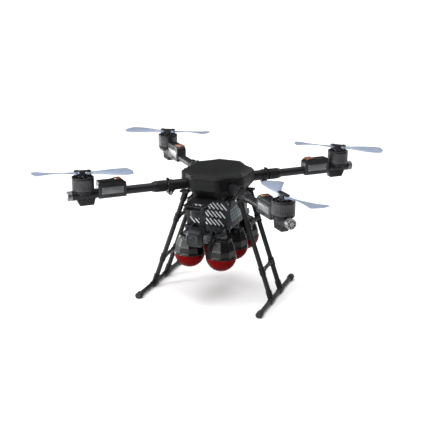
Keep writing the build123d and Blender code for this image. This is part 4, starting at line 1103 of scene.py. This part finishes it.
def fill_camera(mesh):
    across = Matrix.Translation(CAMERA_CENTRE) @ YZ_FACE
    profile = [(0, -41.0), (21, -41.0)]
    for step in range(1, 13):
        angle = pi / 2 * step / 12
        profile.append((22 + 24 * sin(angle), -17 - 24 * cos(angle)))
    profile += [(46, -14.6), (45.1, -14.2), (45.1, -13.2), (46, -12.8)]
    profile += [(r, -h) for r, h in reversed(profile[1:])]
    profile.append((0, 41.0))
    lathe(mesh, mm(profile), 96, across)
    forward = Matrix.Translation(CAMERA_CENTRE) @ XZ_SIDE
    outer, inner = rounded(58, 54, 14, 8), rounded(46, 42, 10, 8)
    skirt = rounded(56.4, 52.4, 13.2, 8)
    rim(mesh, outer, inner, 20 * MM, 48.8 * MM, forward, 0)
    rim(mesh, skirt, inner, 48 * MM, 49.9 * MM, forward, 0)
    slab(mesh, rounded(46.2, 42.2, 10, 8), 44 * MM, 46.6 * MM, forward, 0, 1, 1)
    for radius, high in ((15.5, 47.6), (8.5, 48.4)):
        ring = [(radius, 46.2), (radius, high), (radius - 0.8, high + 0.3), (radius - 2.2, high - 0.2)]
        ring.append((radius - 3, high - 1.3))
        lathe(mesh, mm(ring), 56, forward, 2)
    lathe(mesh, [(5.6 * MM, 46.8 * MM), (4 * MM, 47.6 * MM), (0, 48.0 * MM)], 40, forward, 1)
    for x, z in ((19, 17), (-19, 17), (19, -17), (-19, -17)):
        screw(mesh, forward @ Vector((x * MM, z * MM, 46.4 * MM)), (0, -1, 0), 1.5 * MM, 3)
    cap = [(0, 41.8), (20, 41.8), (21, 41.2), (21, 40.4)]
    lathe(mesh, [(r * MM, -h * MM) for r, h in cap], 56, across, 3)


CAMERA_MIX = [CAMERA_GREY, GLASS, BLACK_METAL, DARK_SCREW]
build("camera_body", CAMERA_MIX, "camera", ["gimbal_camera"])(fill_camera)


def fill_yoke_trim(mesh):
    across = Matrix.Translation((63 * MM, GIMBAL_Y, CAMERA_Z)) @ YZ_FACE
    cap = [(23, -1.5), (23, -0.6), (19, 0.6), (18.4, 0.2), (17.6, 0.2), (17.0, 0.7), (6, 0.9)]
    cap += [(5.6, 0.5), (0, 0.5)]
    lathe(mesh, mm(cap), 64, across)
    screw_ring(mesh, across, 11.5 * MM, 0.7 * MM, 1.6 * MM, 0, 1)


build("yoke_motor_cap", [BELL_GREY, SCREW], "gimbal_roll")(fill_yoke_trim)

# ------------------------------------------------------------------ carried-over CAD nodes
FINISHES = {
    "lower_shell": COVER,
    "frame_plates": PLATE_CARBON,
    "flight_controller": BLACK_PLASTIC,
    "battery": BATTERY_SHELL,
    "arm_sockets": BLACK_METAL,
    "hinge_pins": SCREW,
    "leg_joints": BLACK_PLASTIC,
    "leg_mounts": BLACK_METAL,
    "skid_feet": RUBBER,
    "cage": CAGE_BLACK,
    "payload_rails": BLACK_METAL,
    "release_controller": LIGHT_HOUSING,
    "payload_rack": CAGE_BLACK,
    "gimbal_base": BLACK_METAL,
    "gimbal_dampers": RUBBER,
    "gimbal_pan_arm": CAGE_BLACK,
    "gimbal_roll_arm": BELL_GREY,
}
for node, material in FINISHES.items():
    wear(node, material)

# ------------------------------------------------------------------ floor, light and camera
floor_mesh = bmesh.new()
slab(floor_mesh, rounded(80000, 80000, 4000), -0.02, -0.0005, bevel=0)
floor = make_object("floor", floor_mesh, [FLOOR])

AZIMUTH, ELEVATION, ROLL = radians(21.0), radians(17.76), radians(0.434)
CAMERA_AT = (1.4924, -3.9216, 1.7317)
back = Vector((sin(AZIMUTH) * cos(ELEVATION), -cos(AZIMUTH) * cos(ELEVATION), sin(ELEVATION)))
right = Vector((cos(AZIMUTH), sin(AZIMUTH), 0))
up = back.cross(right)
level_right = right * cos(ROLL) + up * sin(ROLL)
level_up = up * cos(ROLL) - right * sin(ROLL)
lens = bpy.data.cameras.new("view_camera")
lens.sensor_width = 36
lens.lens = 75.3
camera = bpy.data.objects.new("view_camera", lens)
turn = Matrix((level_right, level_up, back)).transposed().to_4x4()
camera.matrix_world = Matrix.Translation(CAMERA_AT) @ turn
bpy.context.scene.collection.objects.link(camera)
bpy.context.scene.camera = camera


def area_light(name, spot, size, power, colour=(1, 1, 1)):
    data = bpy.data.lights.new(name, "AREA")
    data.shape = "DISK"
    data.size = size
    data.energy = power
    data.color = colour
    lamp = bpy.data.objects.new(name, data)
    lamp.location = spot
    lamp.rotation_mode = "QUATERNION"
    lamp.rotation_quaternion = (Vector((0, 0, 0.4)) - Vector(spot)).to_track_quat("-Z", "Y")
    bpy.context.scene.collection.objects.link(lamp)


area_light("key_light", (-2.6, -2.6, 1.7), 1.3, 120)
area_light("front_light", (-1.2, -3.2, 1.0), 0.8, 22)
area_light("side_light", (-2.9, 0.5, 0.5), 0.9, 45)
area_light("rim_light", (1.2, 2.8, 2.4), 1.8, 35)

sun_data = bpy.data.lights.new("studio_sun", "SUN")
sun_data.energy = 3.7
sun_data.angle = radians(70)
sun = bpy.data.objects.new("studio_sun", sun_data)
sun.rotation_mode = "QUATERNION"
sun.rotation_quaternion = Vector((0.12, 0.12, -1)).to_track_quat("-Z", "Y")
bpy.context.scene.collection.objects.link(sun)

world = bpy.data.worlds.new("studio")
bpy.context.scene.world = world
world.use_nodes = True
world.node_tree.nodes["Background"].inputs[0].default_value = (1, 1, 1, 1)
world.node_tree.nodes["Background"].inputs[1].default_value = 0.12
bpy.context.scene.view_settings.view_transform = "Standard"
